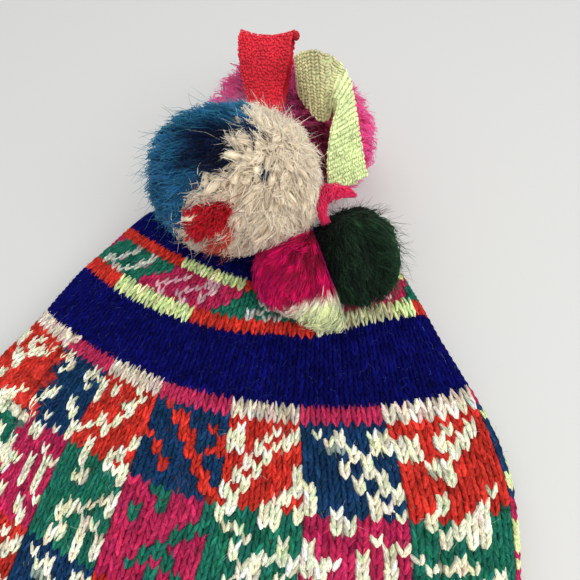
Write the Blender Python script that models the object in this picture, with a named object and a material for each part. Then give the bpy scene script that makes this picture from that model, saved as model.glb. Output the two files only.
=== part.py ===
"""A knitted chullo hat lying flat, with the pompoms, tufts and tape loops on its tip.

Every length is in metres. The crown is laid out from the point that its two side folds
aim at: "down" is the distance from that point towards the rim, "across" runs from -1 at
the left fold to +1 at the right one. The tip points to +Y and the rim to -Y.
"""
import math
from collections import namedtuple

import bmesh
import bpy
from mathutils import Matrix, Vector

# the knitted crown
CROWN_TIP = 0.100
TIP_ROUNDING = 0.032
BEND_START = 0.215                  # where the cone starts to turn into a straight tube
BEND_LENGTH = 0.040
RIM = 0.313
KNIT = 0.0034                       # wall thickness
UPPER_FULLNESS = 2.6                # a higher number makes a squarer cross-section
LOWER_FULLNESS = 3.6
PRESSED = 0.0015                    # how far the table flattens the underside
AROUND = 40

# heights of the front layer and the folds, and angles of the folds from the middle line
Section = namedtuple("Section", "down top fold left right")
SECTIONS = (
    Section(0.100, 0.0160, 0.0080, 33.5, 27.8),
    Section(0.130, 0.0235, 0.0100, 33.5, 27.8),
    Section(0.165, 0.0270, 0.0115, 31.8, 28.4),
    Section(0.215, 0.0290, 0.0120, 29.1, 29.1),
    Section(0.265, 0.0285, 0.0120, 29.1, 29.1),
    Section(0.313, 0.0250, 0.0110, 29.1, 29.1),
)

Dent = namedtuple("Dent", "x down length width depth turn")
DENTS = (
    Dent(-0.012, 0.228, 0.042, 0.013, 0.0030, -0.45),
    Dent(0.052, 0.262, 0.050, 0.016, 0.0018, 0.35),
    Dent(-0.060, 0.190, 0.030, 0.014, 0.0014, -0.30),
)

# the two ear flaps
FLAP_LENGTH = 0.092
FLAP_HALF_WIDTH = 0.050
FLAP_GAP = 0.0005
FLAP_DROOP = 0.82                   # share of its length in which the upper flap comes down

# pompoms and tufts: centre, radii, and which faces its neighbours press flat
CLEAR = 0.0010                      # between a tuft and the knitting below it
Face = namedtuple("Face", "point normal")

# the woven tapes
TAPE_THICKNESS = 0.0013
YARN_TIE_RADIUS = 0.0024

Rib = namedtuple("Rib", "near far")
GREEN_LOOP = (                      # from the tie, up the front, round the top, down behind
    Rib((27.5, -107.0, 45.0), (44.0, -90.0, 40.5)),
    Rib((26.8, -104.0, 53.0), (41.3, -86.0, 47.0)),
    Rib((26.4, -101.6, 61.0), (38.9, -81.5, 53.0)),
    Rib((26.7, -98.6, 68.0), (36.5, -76.6, 58.0)),
    Rib((27.3, -94.8, 73.6), (34.4, -71.3, 62.6)),
    Rib((28.4, -91.4, 76.6), (32.4, -66.8, 66.0)),
    Rib((28.6, -89.0, 79.2), (30.8, -63.6, 68.8)),
    Rib((26.6, -87.0, 79.2), (28.4, -60.8, 72.4)),
    Rib((25.4, -86.9, 75.8), (26.2, -60.2, 75.6)),
    Rib((24.8, -87.0, 72.2), (24.2, -60.8, 78.4)),
    Rib((24.3, -87.2, 69.4), (21.9, -62.3, 81.0)),
    Rib((22.8, -86.6, 67.0), (18.6, -63.0, 82.6)),
    Rib((20.1, -84.6, 65.4), (14.5, -62.0, 83.0)),
    Rib((16.4, -79.6, 64.0), (10.5, -61.3, 82.0)),
    Rib((11.9, -72.8, 63.0), (8.2, -62.3, 82.0)),
    Rib((7.6, -65.1, 62.0), (6.4, -62.4, 80.6)),
    Rib((5.4, -57.8, 61.0), (5.6, -59.6, 78.0)),
    Rib((5.4, -51.6, 60.4), (7.2, -53.6, 75.4)),
    Rib((8.6, -47.2, 59.4), (10.6, -46.8, 70.6)),
    Rib((13.4, -46.0, 57.8), (15.4, -41.6, 65.4)),
    Rib((18.2, -52.5, 56.6), (21.2, -43.8, 60.0)),
    Rib((22.4, -62.5, 55.6), (28.0, -54.0, 56.6)),
    Rib((26.0, -75.0, 53.8), (34.5, -69.0, 53.6)),
    Rib((29.6, -88.0, 47.6), (38.4, -84.0, 46.0)),
    Rib((31.8, -98.0, 39.5), (39.6, -93.0, 38.0)),
)
RED_LOOP = (                        # from between the pompoms, up the front, over, and back
    Rib((-10.0, -80.5, 44.0), (-3.0, -80.5, 44.0)),
    Rib((-14.0, -75.3, 54.0), (-2.0, -75.0, 53.6)),
    Rib((-18.5, -67.0, 62.4), (-1.2, -63.5, 61.0)),
    Rib((-22.8, -56.0, 72.0), (1.6, -57.6, 74.0)),
    Rib((-24.0, -47.8, 77.4), (1.8, -49.6, 79.6)),
    Rib((-24.2, -44.8, 78.4), (2.4, -46.6, 80.6)),
    Rib((-23.8, -42.4, 76.2), (2.6, -44.2, 78.6)),
    Rib((-22.0, -44.4, 69.0), (1.4, -46.4, 70.4)),
    Rib((-17.0, -56.4, 59.2), (0.4, -55.2, 60.0)),
    Rib((-12.4, -68.0, 55.0), (-0.6, -67.6, 55.2)),
    Rib((-9.6, -76.4, 44.6), (-3.4, -76.2, 44.6)),
)
TIE_PATH = (                        # the pink yarn, from its loose end to its hanging end
    (43.2, -109.5, 50.5), (39.0, -109.0, 52.0), (34.2, -110.0, 53.2), (31.0, -113.0, 53.2),
    (30.2, -117.0, 52.4), (30.9, -120.6, 51.0), (32.4, -123.6, 50.0),
)


def mix(a, b, part):
    return a + (b - a) * part


def smooth_step(value):
    value = min(max(value, 0.0), 1.0)
    return value * value * (3.0 - 2.0 * value)


def clear_scene():
    for thing in list(bpy.data.objects):
        bpy.data.objects.remove(thing, do_unlink=True)


def wool(name, colour, roughness=0.9):
    material = bpy.data.materials.new(name)
    material.use_nodes = True
    shader = material.node_tree.nodes["Principled BSDF"]
    shader.inputs["Base Color"].default_value = (*colour, 1.0)
    shader.inputs["Roughness"].default_value = roughness
    shader.inputs["Metallic"].default_value = 0.0
    return material


def make_object(name, bm, material):
    bmesh.ops.remove_doubles(bm, verts=bm.verts, dist=0.00001)
    bmesh.ops.recalc_face_normals(bm, faces=bm.faces)
    mesh = bpy.data.meshes.new(name)
    bm.to_mesh(mesh)
    bm.free()
    mesh.shade_smooth()
    mesh.set_sharp_from_angle(angle=math.radians(50))
    mesh.materials.append(material)
    thing = bpy.data.objects.new(name, mesh)
    bpy.context.collection.objects.link(thing)
    return thing


def tip_factor(down):
    """0 at the tip, 1 where the crown has its full width."""
    part = min(max((down - CROWN_TIP) / TIP_ROUNDING, 0.0), 1.0)
    return math.sqrt(1.0 - (1.0 - part) ** 2)


def section_at(down):
    """The section of the crown between the rows of SECTIONS, with its angles in radians."""
    down = min(max(down, SECTIONS[0].down), SECTIONS[-1].down)
    for low, high in zip(SECTIONS, SECTIONS[1:]):
        if down <= high.down:
            break
    part = smooth_step((down - low.down) / (high.down - low.down))
    top, fold, left, right = (mix(a, b, part) for a, b in zip(low[1:], high[1:]))
    return Section(down, top, fold, math.radians(left), math.radians(right))


def fold_angles(down, inset=0.0):
    """Angles of the two folds, narrowed by the tip's rounding and by a depth in the wall."""
    section = section_at(down)
    factor = tip_factor(down)
    return (max(angle * factor - inset / down, 0.0) for angle in (section.left, section.right))


def plan(down, across, inset=0.0):
    """Where a point of the flattened crown lies on the table."""
    straight = min(down, BEND_START)
    left, right = fold_angles(straight, inset)
    angle = 0.5 * (right + left) * across + 0.5 * (right - left) * across ** 2
    x = straight * math.sin(angle)
    y = -straight * math.cos(angle)
    bent = min(max(down - BEND_START, 0.0), BEND_LENGTH)
    if bent > 0.0:
        if abs(angle) < 1e-5:
            y -= bent
        else:
            radius = BEND_LENGTH / angle
            remaining = angle * (1.0 - bent / BEND_LENGTH)
            x += radius * (math.cos(remaining) - math.cos(angle))
            y -= radius * (math.sin(angle) - math.sin(remaining))
    y -= max(down - BEND_START - BEND_LENGTH, 0.0)
    return x, y


def dent_at(x, y):
    sunk = 0.0
    for dent in DENTS:
        dx = x - dent.x
        dy = -y - dent.down
        along = dy * math.cos(dent.turn) - dx * math.sin(dent.turn)
        over = dx * math.cos(dent.turn) + dy * math.sin(dent.turn)
        sunk += dent.depth * math.exp(-(along / dent.length) ** 2 - (over / dent.width) ** 2)
    return sunk


def crown_point(down, turn, inset):
    """A point of the crown's wall: turn goes once round, inset is the depth in the wall."""
    factor = tip_factor(down)
    section = section_at(down)
    cosine, sine = math.cos(turn), math.sin(turn)
    fullness = UPPER_FULLNESS if sine >= 0.0 else LOWER_FULLNESS
    across = math.copysign(abs(cosine) ** (2.0 / fullness), cosine)
    rise = abs(sine) ** (2.0 / fullness)
    x, y = plan(down, across, inset)
    if sine >= 0.0:
        z = section.fold + ((section.top - section.fold) * factor - inset) * rise
        z -= dent_at(x, y) * rise
    else:
        z = section.fold - ((section.fold + PRESSED) * factor - inset) * rise
        z = max(z, inset)
    return Vector((x, y, z))


def crown_top(x, y):
    """Height of the crown's upper surface over a point of the table near the tip."""
    down = math.hypot(x, y)
    if down < CROWN_TIP:
        return -CLEAR
    section = section_at(down)
    left, right = fold_angles(down)
    fold = max(right if x > 0.0 else left, 0.001)
    across = min(abs(math.atan2(x, -y)) / fold, 1.0)
    rise = (1.0 - across ** UPPER_FULLNESS) ** (1.0 / UPPER_FULLNESS)
    return section.fold + (section.top - section.fold) * tip_factor(down) * rise


def skin(bm, rings):
    """Quads between neighbouring closed rings of vertices."""
    for one, two in zip(rings, rings[1:]):
        count = len(one)
        for n in range(count):
            bm.faces.new((one[n], one[(n + 1) % count], two[(n + 1) % count], two[n]))


def cap(bm, ring, pole):
    for n in range(len(ring)):
        bm.faces.new((ring[n], ring[(n + 1) % len(ring)], pole))


def build_crown(material):
    outer_downs = [CROWN_TIP + TIP_ROUNDING * part for part in (0.04, 0.14, 0.30, 0.52, 0.76, 1.0)]
    steps = 16
    edge = RIM - 0.0012
    outer_downs += [mix(outer_downs[-1], edge, n / steps) for n in range(1, steps + 1)]
    inner_tip = CROWN_TIP + 0.0075
    inner_downs = [inner_tip + 0.0005]
    steps = 16
    inner_downs += [mix(inner_tip + 0.008, edge, n / steps) for n in range(steps + 1)]
    walls = [(down, 0.0) for down in outer_downs]
    walls.append((RIM, KNIT / 2))
    walls += [(down, KNIT) for down in reversed(inner_downs)]

    bm = bmesh.new()
    rings = []
    for down, inset in walls:
        turns = [2.0 * math.pi * n / AROUND for n in range(AROUND)]
        rings.append([bm.verts.new(crown_point(down, turn, inset)) for turn in turns])
    skin(bm, rings)
    cap(bm, rings[0], bm.verts.new((0.0, -CROWN_TIP, SECTIONS[0].fold)))
    cap(bm, rings[-1], bm.verts.new((0.0, -inner_tip, SECTIONS[0].fold)))
    return make_object("knitted_crown", bm, material)


def flap_under(part, across, upper):
    """Height of a flap's underside above the table."""
    if not upper:
        return 0.0
    section = section_at(RIM)
    rise = (1.0 - abs(across) ** UPPER_FULLNESS) ** (1.0 / UPPER_FULLNESS)
    start = section.fold + (section.top - section.fold) * rise - KNIT
    return mix(start, KNIT + 0.0004, smooth_step(part / FLAP_DROOP))


def build_flap(name, upper, material):
    rows, columns = 14, 8
    full_width = plan(RIM, 1.0)[0]
    bm = bmesh.new()
    layers = []
    for side in (0, 1):
        grid = []
        for r in range(rows + 1):
            part = math.sin(0.5 * math.pi * r / rows)
            half = FLAP_HALF_WIDTH * (1.0 - part ** 2.6) ** 0.5
            line = []
            for c in range(-columns, columns + 1):
                across = half * c / columns / full_width
                x, y = plan(RIM + FLAP_GAP + FLAP_LENGTH * part, across)
                under = flap_under(part, across, upper)
                rim_edge = abs(c) == columns or r == rows
                lift = (0.25 if side == 0 else 0.75) if rim_edge else float(side)
                line.append(bm.verts.new((x, y, under + KNIT * lift)))
            grid.append(line)
        layers.append(grid)
    for grid in layers:
        for one, two in zip(grid, grid[1:]):
            for n in range(2 * columns):
                bm.faces.new((one[n], one[n + 1], two[n + 1], two[n]))
    low, high = layers
    border = [(0, c) for c in range(2 * columns)]
    border += [(r, 2 * columns) for r in range(rows)]
    border += [(rows, c) for c in range(2 * columns, 0, -1)]
    border += [(r, 0) for r in range(rows, 0, -1)]
    for (r0, c0), (r1, c1) in zip(border, border[1:] + border[:1]):
        bm.faces.new((low[r0][c0], low[r1][c1], high[r1][c1], high[r0][c0]))
    return make_object(name, bm, material)


def lumps(direction, size):
    """A slow swell that keeps a tuft from being a plain egg."""
    x, y, z = direction
    swell = math.sin(3.1 * x + 1.3) * math.sin(2.7 * y + 0.4) + math.sin(3.7 * z + 2.1 * x)
    return 1.0 + size * swell


def build_tuft(name, centre, radii, faces, material, fineness=4, pulls=()):
    """A closed tuft: an uneven ball that its neighbours, the crown and the table press flat.

    Each of the pulls is a way from the centre in which the tuft is drawn out to a point.
    """
    middle = Vector(centre)
    bm = bmesh.new()
    bmesh.ops.create_icosphere(bm, subdivisions=fineness, radius=1.0)
    for vert in bm.verts:
        way = vert.co.normalized()
        reach = Vector((way.x * radii[0], way.y * radii[1], way.z * radii[2]))
        reach *= lumps(way, 0.022)
        length = reach.length
        for pull in pulls:
            share = max(way.dot(Vector(pull).normalized()), 0.0) ** 4
            length = mix(length, Vector(pull).length, share)
        ray = reach.normalized()
        for face in faces:
            normal = Vector(face.normal).normalized()
            towards = ray.dot(normal)
            if towards > 0.02:
                room = (Vector(face.point) - middle).dot(normal)
                length = min(length, room / towards)
        spot = middle + ray * length
        spot.z = max(spot.z, crown_top(spot.x, spot.y) + CLEAR)
        vert.co = spot
    return make_object(name, bm, material)


def curve_through(points, steps):
    """A smooth curve through the points, with that many steps between two of them."""
    ends = [points[0] * 2 - points[1]] + list(points) + [points[-1] * 2 - points[-2]]
    curve = []
    for n in range(1, len(ends) - 2):
        p0, p1, p2, p3 = ends[n - 1:n + 3]
        for step in range(steps):
            t = step / steps
            curve.append(0.5 * ((2 * p1) + (p2 - p0) * t + (2 * p0 - 5 * p1 + 4 * p2 - p3) * t * t
                                + (3 * p1 - p0 - 3 * p2 + p3) * t * t * t))
    curve.append(points[-1].copy())
    return curve


def build_tape(name, ribs, bow, material):
    """A flat tape through its ribs, given in millimetres; bow rounds it across its width."""
    near = curve_through([Vector(rib.near) * 0.001 for rib in ribs], 3)
    far = curve_through([Vector(rib.far) * 0.001 for rib in ribs], 3)
    across = 4
    count = len(near)
    bm = bmesh.new()
    lines = []
    for n in range(count):
        back, ahead = max(n - 1, 0), min(n + 1, count - 1)
        along = (near[ahead] + far[ahead]) - (near[back] + far[back])
        normal = along.cross(far[n] - near[n]).normalized()
        line = []
        for c in range(across + 1):
            share = c / across
            spot = near[n].lerp(far[n], share) + normal * bow * (1.0 - (2.0 * share - 1.0) ** 2)
            line.append(bm.verts.new(spot))
        lines.append(line)
    for one, two in zip(lines, lines[1:]):
        for c in range(across):
            bm.faces.new((one[c], one[c + 1], two[c + 1], two[c]))
    thing = make_object(name, bm, material)
    wall = thing.modifiers.new("tape_thickness", "SOLIDIFY")
    wall.thickness = TAPE_THICKNESS
    wall.offset = 0.0
    return thing


def build_yarn(name, path, radius, material):
    """A thick yarn along its path, as a closed tube with rounded ends."""
    spine = curve_through([Vector(point) * 0.001 for point in path], 3)
    sides = 10
    bm = bmesh.new()
    rings = []
    for n, spot in enumerate(spine):
        along = (spine[min(n + 1, len(spine) - 1)] - spine[max(n - 1, 0)]).normalized()
        side = along.cross(Vector((0.0, 0.0, 1.0))).normalized()
        up = side.cross(along)
        size = radius * (0.62 if n in (0, len(spine) - 1) else 1.0)
        turns = [2.0 * math.pi * s / sides for s in range(sides)]
        ring = [spot + (side * math.cos(a) + up * math.sin(a)) * size for a in turns]
        rings.append([bm.verts.new(point) for point in ring])
    skin(bm, rings)
    first = spine[0] + (spine[0] - spine[1]).normalized() * radius * 0.5
    last = spine[-1] + (spine[-1] - spine[-2]).normalized() * radius * 0.5
    cap(bm, rings[0], bm.verts.new(first))
    cap(bm, rings[-1], bm.verts.new(last))
    return make_object(name, bm, material)


def stand_on_origin(things):
    """Move every mesh so that the origin is under the middle of the whole hat's box."""
    spots = [vert.co for thing in things for vert in thing.data.vertices]
    middle = [0.5 * (min(s[i] for s in spots) + max(s[i] for s in spots)) for i in (0, 1)]
    for thing in things:
        thing.data.transform(Matrix.Translation((-middle[0], -middle[1], 0.0)))


def main():
    clear_scene()
    knit = wool("knitted_flap", (0.190, 0.045, 0.075))
    things = [
        build_crown(wool("navy_wool", (0.030, 0.035, 0.210))),
        build_flap("ear_flap_left", True, knit),
        build_flap("ear_flap_right", False, knit),
    ]

    # the pompoms meet in a crease that leaves room for the tapes sewn to the tip
    crease = Vector((0.013, 0.056, -0.027)).normalized()
    large_centre = Vector((-0.012, -0.1145, 0.0560))
    large_faces = (
        Face(large_centre + crease * 0.034, crease),
        Face((0.0242, -0.100, 0.055), (1.0, 0.0, 0.0)),
        Face((0.012, -0.134, 0.045), (0.45, -0.65, -0.55)),
    )
    things.append(build_tuft("large_pompom", large_centre, (0.0395, 0.036, 0.035), large_faces,
                             wool("cream_and_blue_yarn", (0.560, 0.500, 0.400))))
    pink_faces = (
        Face(large_centre + crease * 0.0438, -crease),
        Face((0.0, -0.060, 0.0530), (0.0, 0.0, 1.0)),
    )
    things.append(build_tuft("pink_pompom", (0.0005, -0.0575, 0.031), (0.0465, 0.0445, 0.0325),
                             pink_faces, wool("pink_yarn", (0.620, 0.030, 0.200)),
                             pulls=((-0.040, 0.033, 0.010),)))

    # the two tufts lie side by side on the front layer, their tops under the large pompom
    between = Vector((0.875, 0.484, 0.0)).normalized()
    parting = Vector((0.0355, -0.1425, 0.035))
    pink_tuft_faces = (
        Face(parting - between * 0.0004, between),
        Face((0.012, -0.1345, 0.0445), (-0.45, 0.65, 0.55)),
    )
    things.append(build_tuft("pink_tuft", (0.0225, -0.1455, 0.0360), (0.0220, 0.0215, 0.0110),
                             pink_tuft_faces, wool("pink_tuft_yarn", (0.700, 0.020, 0.170)), 3,
                             ((0.010, 0.026, 0.007), (0.027, -0.017, -0.006))))
    green_tuft_faces = (Face(parting + between * 0.0004, -between),)
    things.append(build_tuft("green_tuft", (0.0450, -0.1325, 0.0350), (0.0190, 0.0250, 0.0125),
                             green_tuft_faces, wool("dark_green_yarn", (0.012, 0.060, 0.040)), 3,
                             ((-0.011, 0.022, 0.004),)))

    things += [
        build_tape("green_tape_loop", GREEN_LOOP, 0.0,
                   wool("green_tape", (0.600, 0.680, 0.330))),
        build_tape("red_tape_loop", RED_LOOP, 0.0006, wool("red_tape", (0.560, 0.020, 0.035))),
        build_yarn("pink_yarn_tie", TIE_PATH, YARN_TIE_RADIUS,
                   wool("pink_tie_yarn", (0.780, 0.050, 0.230))),
    ]
    stand_on_origin(things)


main()
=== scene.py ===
import math

import bmesh
import bpy
import numpy as np
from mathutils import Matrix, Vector, kdtree


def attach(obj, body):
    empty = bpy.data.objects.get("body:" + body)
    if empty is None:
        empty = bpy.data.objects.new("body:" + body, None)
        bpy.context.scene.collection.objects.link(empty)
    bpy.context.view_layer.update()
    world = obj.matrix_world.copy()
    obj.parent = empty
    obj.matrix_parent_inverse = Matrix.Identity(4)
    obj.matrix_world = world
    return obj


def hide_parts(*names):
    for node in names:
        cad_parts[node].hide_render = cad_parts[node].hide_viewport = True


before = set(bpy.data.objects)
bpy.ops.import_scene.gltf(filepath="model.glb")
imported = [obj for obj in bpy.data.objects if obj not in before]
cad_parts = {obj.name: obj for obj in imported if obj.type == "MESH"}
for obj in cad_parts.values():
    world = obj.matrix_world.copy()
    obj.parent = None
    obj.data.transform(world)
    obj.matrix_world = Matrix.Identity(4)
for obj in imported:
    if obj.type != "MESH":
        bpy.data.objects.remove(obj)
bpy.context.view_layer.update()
rng = np.random.default_rng(7)
apexY = 0.20835                     # where the two side folds would meet, on the hat's length
apexShift = np.array([0, apexY, 0])


def smoothStep(t):
    t = np.clip(t, 0.0, 1.0)
    return t * t * (3.0 - 2.0 * t)


def unit(v):
    return v / np.maximum(np.linalg.norm(v, axis=-1, keepdims=True), 1e-12)


def linear(rgb):
    # a paint chip in 0-255 to the shader's linear colour
    c = np.asarray(rgb, float) / 255.0
    return np.where(c <= 0.04045, c / 12.92, ((c + 0.055) / 1.055) ** 2.4)


camSetup = {
    "position": (0.0456, -0.02975, 0.1983),
    "right": (0.97934, 0.19218, -0.06296),
    "up": (-0.13992, 0.86870, 0.47517),
    "back": (0.14601, -0.45655, 0.87764),
    "lens": 27.06, "sensor": 36.0, "pixels": 580.0,
}


def addCamera(setup):
    data = bpy.data.cameras.new("viewCamera")
    data.lens = setup["lens"]
    data.sensor_width = setup["sensor"]
    data.clip_start = 0.01
    cam = bpy.data.objects.new("viewCamera", data)
    bpy.context.collection.objects.link(cam)
    rows = [setup["right"], setup["up"], setup["back"], setup["position"]]
    for r in range(3):
        for c in range(4):
            cam.matrix_world[r][c] = rows[c][r]
    bpy.context.scene.camera = cam


def onPicture(points):
    # where points fall on the square picture, in pixels from its top left
    way = np.asarray(points) - np.array(camSetup["position"])
    depth = -way @ np.array(camSetup["back"])
    scale = camSetup["pixels"] * camSetup["lens"] / camSetup["sensor"]
    x = camSetup["pixels"] / 2 + scale * (way @ np.array(camSetup["right"])) / depth
    y = camSetup["pixels"] / 2 - scale * (way @ np.array(camSetup["up"])) / depth
    return np.stack([x, y], -1)


addCamera(camSetup)
print("camera set")


def gridFaces(bm, grid):
    for one, two in zip(grid, grid[1:]):
        for c in range(len(one) - 1):
            bm.faces.new((one[c], two[c], two[c + 1], one[c + 1]))
    bmesh.ops.recalc_face_normals(bm, faces=bm.faces)


def declare(piece, node):
    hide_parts(node)
    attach(piece, "root")


def addObject(name, mesh, material):
    mesh.shade_smooth()
    mesh.materials.append(material)
    thing = bpy.data.objects.new(name, mesh)
    bpy.context.collection.objects.link(thing)
    return thing


def paintYarn(mesh, shade):
    # one RGBA colour for every corner point of the mesh
    paint = mesh.color_attributes.new("yarn", "FLOAT_COLOR", "POINT")
    paint.data.foreach_set("color", np.asarray(shade, np.float32).ravel())


def toMesh(bm, name):
    mesh = bpy.data.meshes.new(name)
    bm.to_mesh(mesh)
    bm.free()
    return mesh


def shapeArrays(bm):
    bm.verts.ensure_lookup_table()
    spots = np.array([v.co for v in bm.verts])
    faces = [[v.index for v in f.verts] for f in bm.faces]
    bm.free()
    return spots, faces


def budShape(sides, rings, fullness=0.6):
    # a closed slim bud along Z from -1 to 1, the seed of every stitch leg, lock and hair
    bm = bmesh.new()
    bmesh.ops.create_uvsphere(bm, u_segments=sides, v_segments=rings, radius=1.0)
    bm.verts.index_update()
    spots, faces = shapeArrays(bm)
    radius = np.linalg.norm(spots[:, :2], axis=1)
    scale = np.where(radius > 1e-6, np.maximum(radius, 1e-6) ** (fullness - 1.0), 0.0)
    spots[:, 0] *= scale
    spots[:, 1] *= scale
    return spots, faces


def manyShapes(name, spots, faces, colours, material, maps):
    # spots is (copies, corners, 3): one mesh that holds every copy
    copies, corners = spots.shape[:2]
    sizes = np.array([len(f) for f in faces])
    flat = np.concatenate([np.array(f) for f in faces])
    index = (flat[None, :] + (np.arange(copies) * corners)[:, None]).ravel()
    totals = np.tile(sizes, copies)
    starts = np.concatenate([[0], np.cumsum(totals)[:-1]])
    mesh = bpy.data.meshes.new(name)
    mesh.vertices.add(copies * corners)
    mesh.vertices.foreach_set("co", spots.reshape(-1).astype(np.float32))
    mesh.loops.add(len(index))
    mesh.loops.foreach_set("vertex_index", index.astype(np.int32))
    mesh.polygons.add(len(totals))
    mesh.polygons.foreach_set("loop_start", starts.astype(np.int32))
    mesh.update(calc_edges=True)
    mesh.validate()
    shade = np.ones((copies, corners, 4), np.float32)
    shade[..., :3] = colours if np.ndim(colours) == 3 else np.asarray(colours)[:, None, :]
    paintYarn(mesh, shade)
    layer = mesh.uv_layers.new(name="strand")
    layer.uv.foreach_set("vector", maps.reshape(-1, 2)[index].astype(np.float32).ravel())
    return addObject(name, mesh, material)


def along(path, t):
    # a quadratic bow through three (n, 3) control rows, and its direction
    a, b, c = (p[:, None, :] for p in path)
    t = t[None, :, None]
    spot = (1 - t) ** 2 * a + 2 * t * (1 - t) * b + t * t * c
    way = 2 * (1 - t) * (b - a) + 2 * t * (c - b)
    return spot, unit(way)


def bowedBuds(bud, path, up, width, thick, taper=0.0, curl=0.0):
    # every bud bent along its own bow; up is which side of it is the outside
    t = (bud[:, 2] + 1.0) / 2.0
    spot, way = along(path, t)
    side = unit(np.cross(way, up[:, None, :]))
    out = np.cross(side, way)
    if curl:
        # crimped wool: the free end waves more than the root
        size = rng.uniform(0.3, 1.0, (len(spot), 1, 1)) * curl * t[None, :, None]
        wave = t[None, :, None] * rng.uniform(5.0, 9.0, (len(spot), 1, 1))
        wave = wave + rng.uniform(0, 6.3, (len(spot), 1, 1))
        spot = spot + side * np.sin(wave) * size + out * np.cos(wave) * size * 0.6
    thin = 1.0 - taper * t[None, :, None]
    width = np.asarray(width).reshape(-1, 1, 1) * thin
    thick = np.asarray(thick).reshape(-1, 1, 1) * thin
    return spot + side * bud[None, :, 0, None] * width + out * bud[None, :, 1, None] * thick


def budMaps(bud, copies, turns, length):
    # u runs round the bud and v along it, each copy at its own place on the pattern
    u = np.arctan2(bud[:, 1], bud[:, 0]) / (2 * math.pi) * turns
    v = (bud[:, 2] + 1.0) / 2.0 * length
    shift = rng.uniform(0, 40, (copies, 1, 2))
    return np.stack([u, v], -1)[None] + shift


def setInputs(node, values):
    for key, value in values.items():
        node.inputs[key].default_value = value


def addNode(tree, kind, values=(), **settings):
    node = tree.nodes.new("ShaderNode" + kind)
    setInputs(node, dict(values))
    for key, value in settings.items():
        setattr(node, key, value)
    return node


def join(tree, *pairs):
    for source, outName, target, inName in pairs:
        tree.links.new(source.outputs[outName], target.inputs[inName])


def nodeMaterial(name):
    mat = bpy.data.materials.new(name)
    mat.use_nodes = True
    return mat, mat.node_tree, mat.node_tree.nodes["Principled BSDF"]


def yarnMaterial(name, look):
    # colour from the mesh, darker and lighter fibres along the strand, a little loft
    mat, tree, shader = nodeMaterial(name)
    paint = addNode(tree, "Attribute", attribute_name="yarn")
    strand = addNode(tree, "UVMap", uv_map="strand")
    place = addNode(tree, "TexCoord")
    stretch = addNode(tree, "Mapping", {"Scale": (look["across"], look["along"], 1.0),
                                        "Rotation": (0.0, 0.0, look["twist"])})
    fibre = addNode(tree, "TexNoise", {"Scale": 1.0, "Detail": 3.0, "Roughness": 0.65})
    cloud = addNode(tree, "TexNoise", {"Scale": look["cloud"], "Detail": 2.0})
    span = addNode(tree, "MapRange", {"From Min": 0.32, "From Max": 0.68,
                                      "To Min": 1.0 - look["contrast"],
                                      "To Max": 1.0 + look["contrast"] * 0.8})
    drift = addNode(tree, "MapRange", {"From Min": 0.3, "From Max": 0.7,
                                       "To Min": 0.86, "To Max": 1.14})
    both = addNode(tree, "Math", operation="MULTIPLY")
    tint = addNode(tree, "VectorMath", operation="SCALE")
    bump = addNode(tree, "Bump", {"Strength": look["bump"], "Distance": 0.0004})
    join(tree, (strand, "UV", stretch, "Vector"), (stretch, "Vector", fibre, "Vector"),
         (place, "Object", cloud, "Vector"), (fibre, "Fac", span, "Value"),
         (cloud, "Fac", drift, "Value"), (span, "Result", both, 0), (drift, "Result", both, 1),
         (paint, "Color", tint, "Vector"), (both, "Value", tint, "Scale"),
         (tint, "Vector", shader, "Base Color"), (fibre, "Fac", bump, "Height"),
         (bump, "Normal", shader, "Normal"))
    setInputs(shader, {"Roughness": 0.88, "Specular IOR Level": look["gloss"],
                       "Sheen Weight": look["sheen"], "Sheen Roughness": 0.45})
    if "soft" in look:
        setInputs(shader, {"Subsurface Weight": look["soft"], "Subsurface Scale": 0.0016,
                           "Subsurface Radius": (1.0, 0.85, 0.75)})
    return mat


knitYarn = yarnMaterial("knitYarn", {
    "across": 9.0, "along": 1.6, "twist": 0.5, "cloud": 60.0, "contrast": 0.55,
    "bump": 1.0, "sheen": 0.0, "gloss": 0.04})
pomYarn = yarnMaterial("pomYarn", {
    "across": 4.0, "along": 0.35, "twist": 0.1, "cloud": 120.0, "contrast": 0.15,
    "bump": 0.2, "sheen": 0.05, "gloss": 0.1, "soft": 0.6})
lockYarn = yarnMaterial("lockYarn", {
    "across": 13.0, "along": 0.30, "twist": 0.12, "cloud": 120.0, "contrast": 0.16,
    "bump": 0.5, "sheen": 0.05, "gloss": 0.1, "soft": 0.6})
coreYarn = yarnMaterial("coreYarn", {
    "across": 6.0, "along": 6.0, "twist": 0.1, "cloud": 120.0, "contrast": 0.4,
    "bump": 1.0, "sheen": 0.1, "gloss": 0.1})
tapeYarn = yarnMaterial("tapeYarn", {
    "across": 4.0, "along": 1.2, "twist": 0.6, "cloud": 90.0, "contrast": 0.22,
    "bump": 0.5, "sheen": 0.1, "gloss": 0.1})


crown = {
    "tip": 0.100, "tipRounding": 0.032, "bendStart": 0.215, "bendLength": 0.040,
    "rim": 0.313, "knit": 0.0034, "upperFullness": 2.6, "lowerFullness": 3.6,
    "pressed": 0.0015,
    # down, top, fold, left and right fold angles
    "sections": ((0.100, 0.0160, 0.0080, 33.5, 27.8), (0.130, 0.0235, 0.0100, 33.5, 27.8),
                 (0.165, 0.0270, 0.0115, 31.8, 28.4), (0.215, 0.0290, 0.0120, 29.1, 29.1),
                 (0.265, 0.0285, 0.0120, 29.1, 29.1), (0.313, 0.0250, 0.0110, 29.1, 29.1)),
    # x, down, length, width, depth, turn of each shallow dent
    "dents": ((-0.012, 0.228, 0.042, 0.013, 0.0030, -0.45),
              (0.052, 0.262, 0.050, 0.016, 0.0018, 0.35),
              (-0.060, 0.190, 0.030, 0.014, 0.0014, -0.30)),
}


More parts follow.
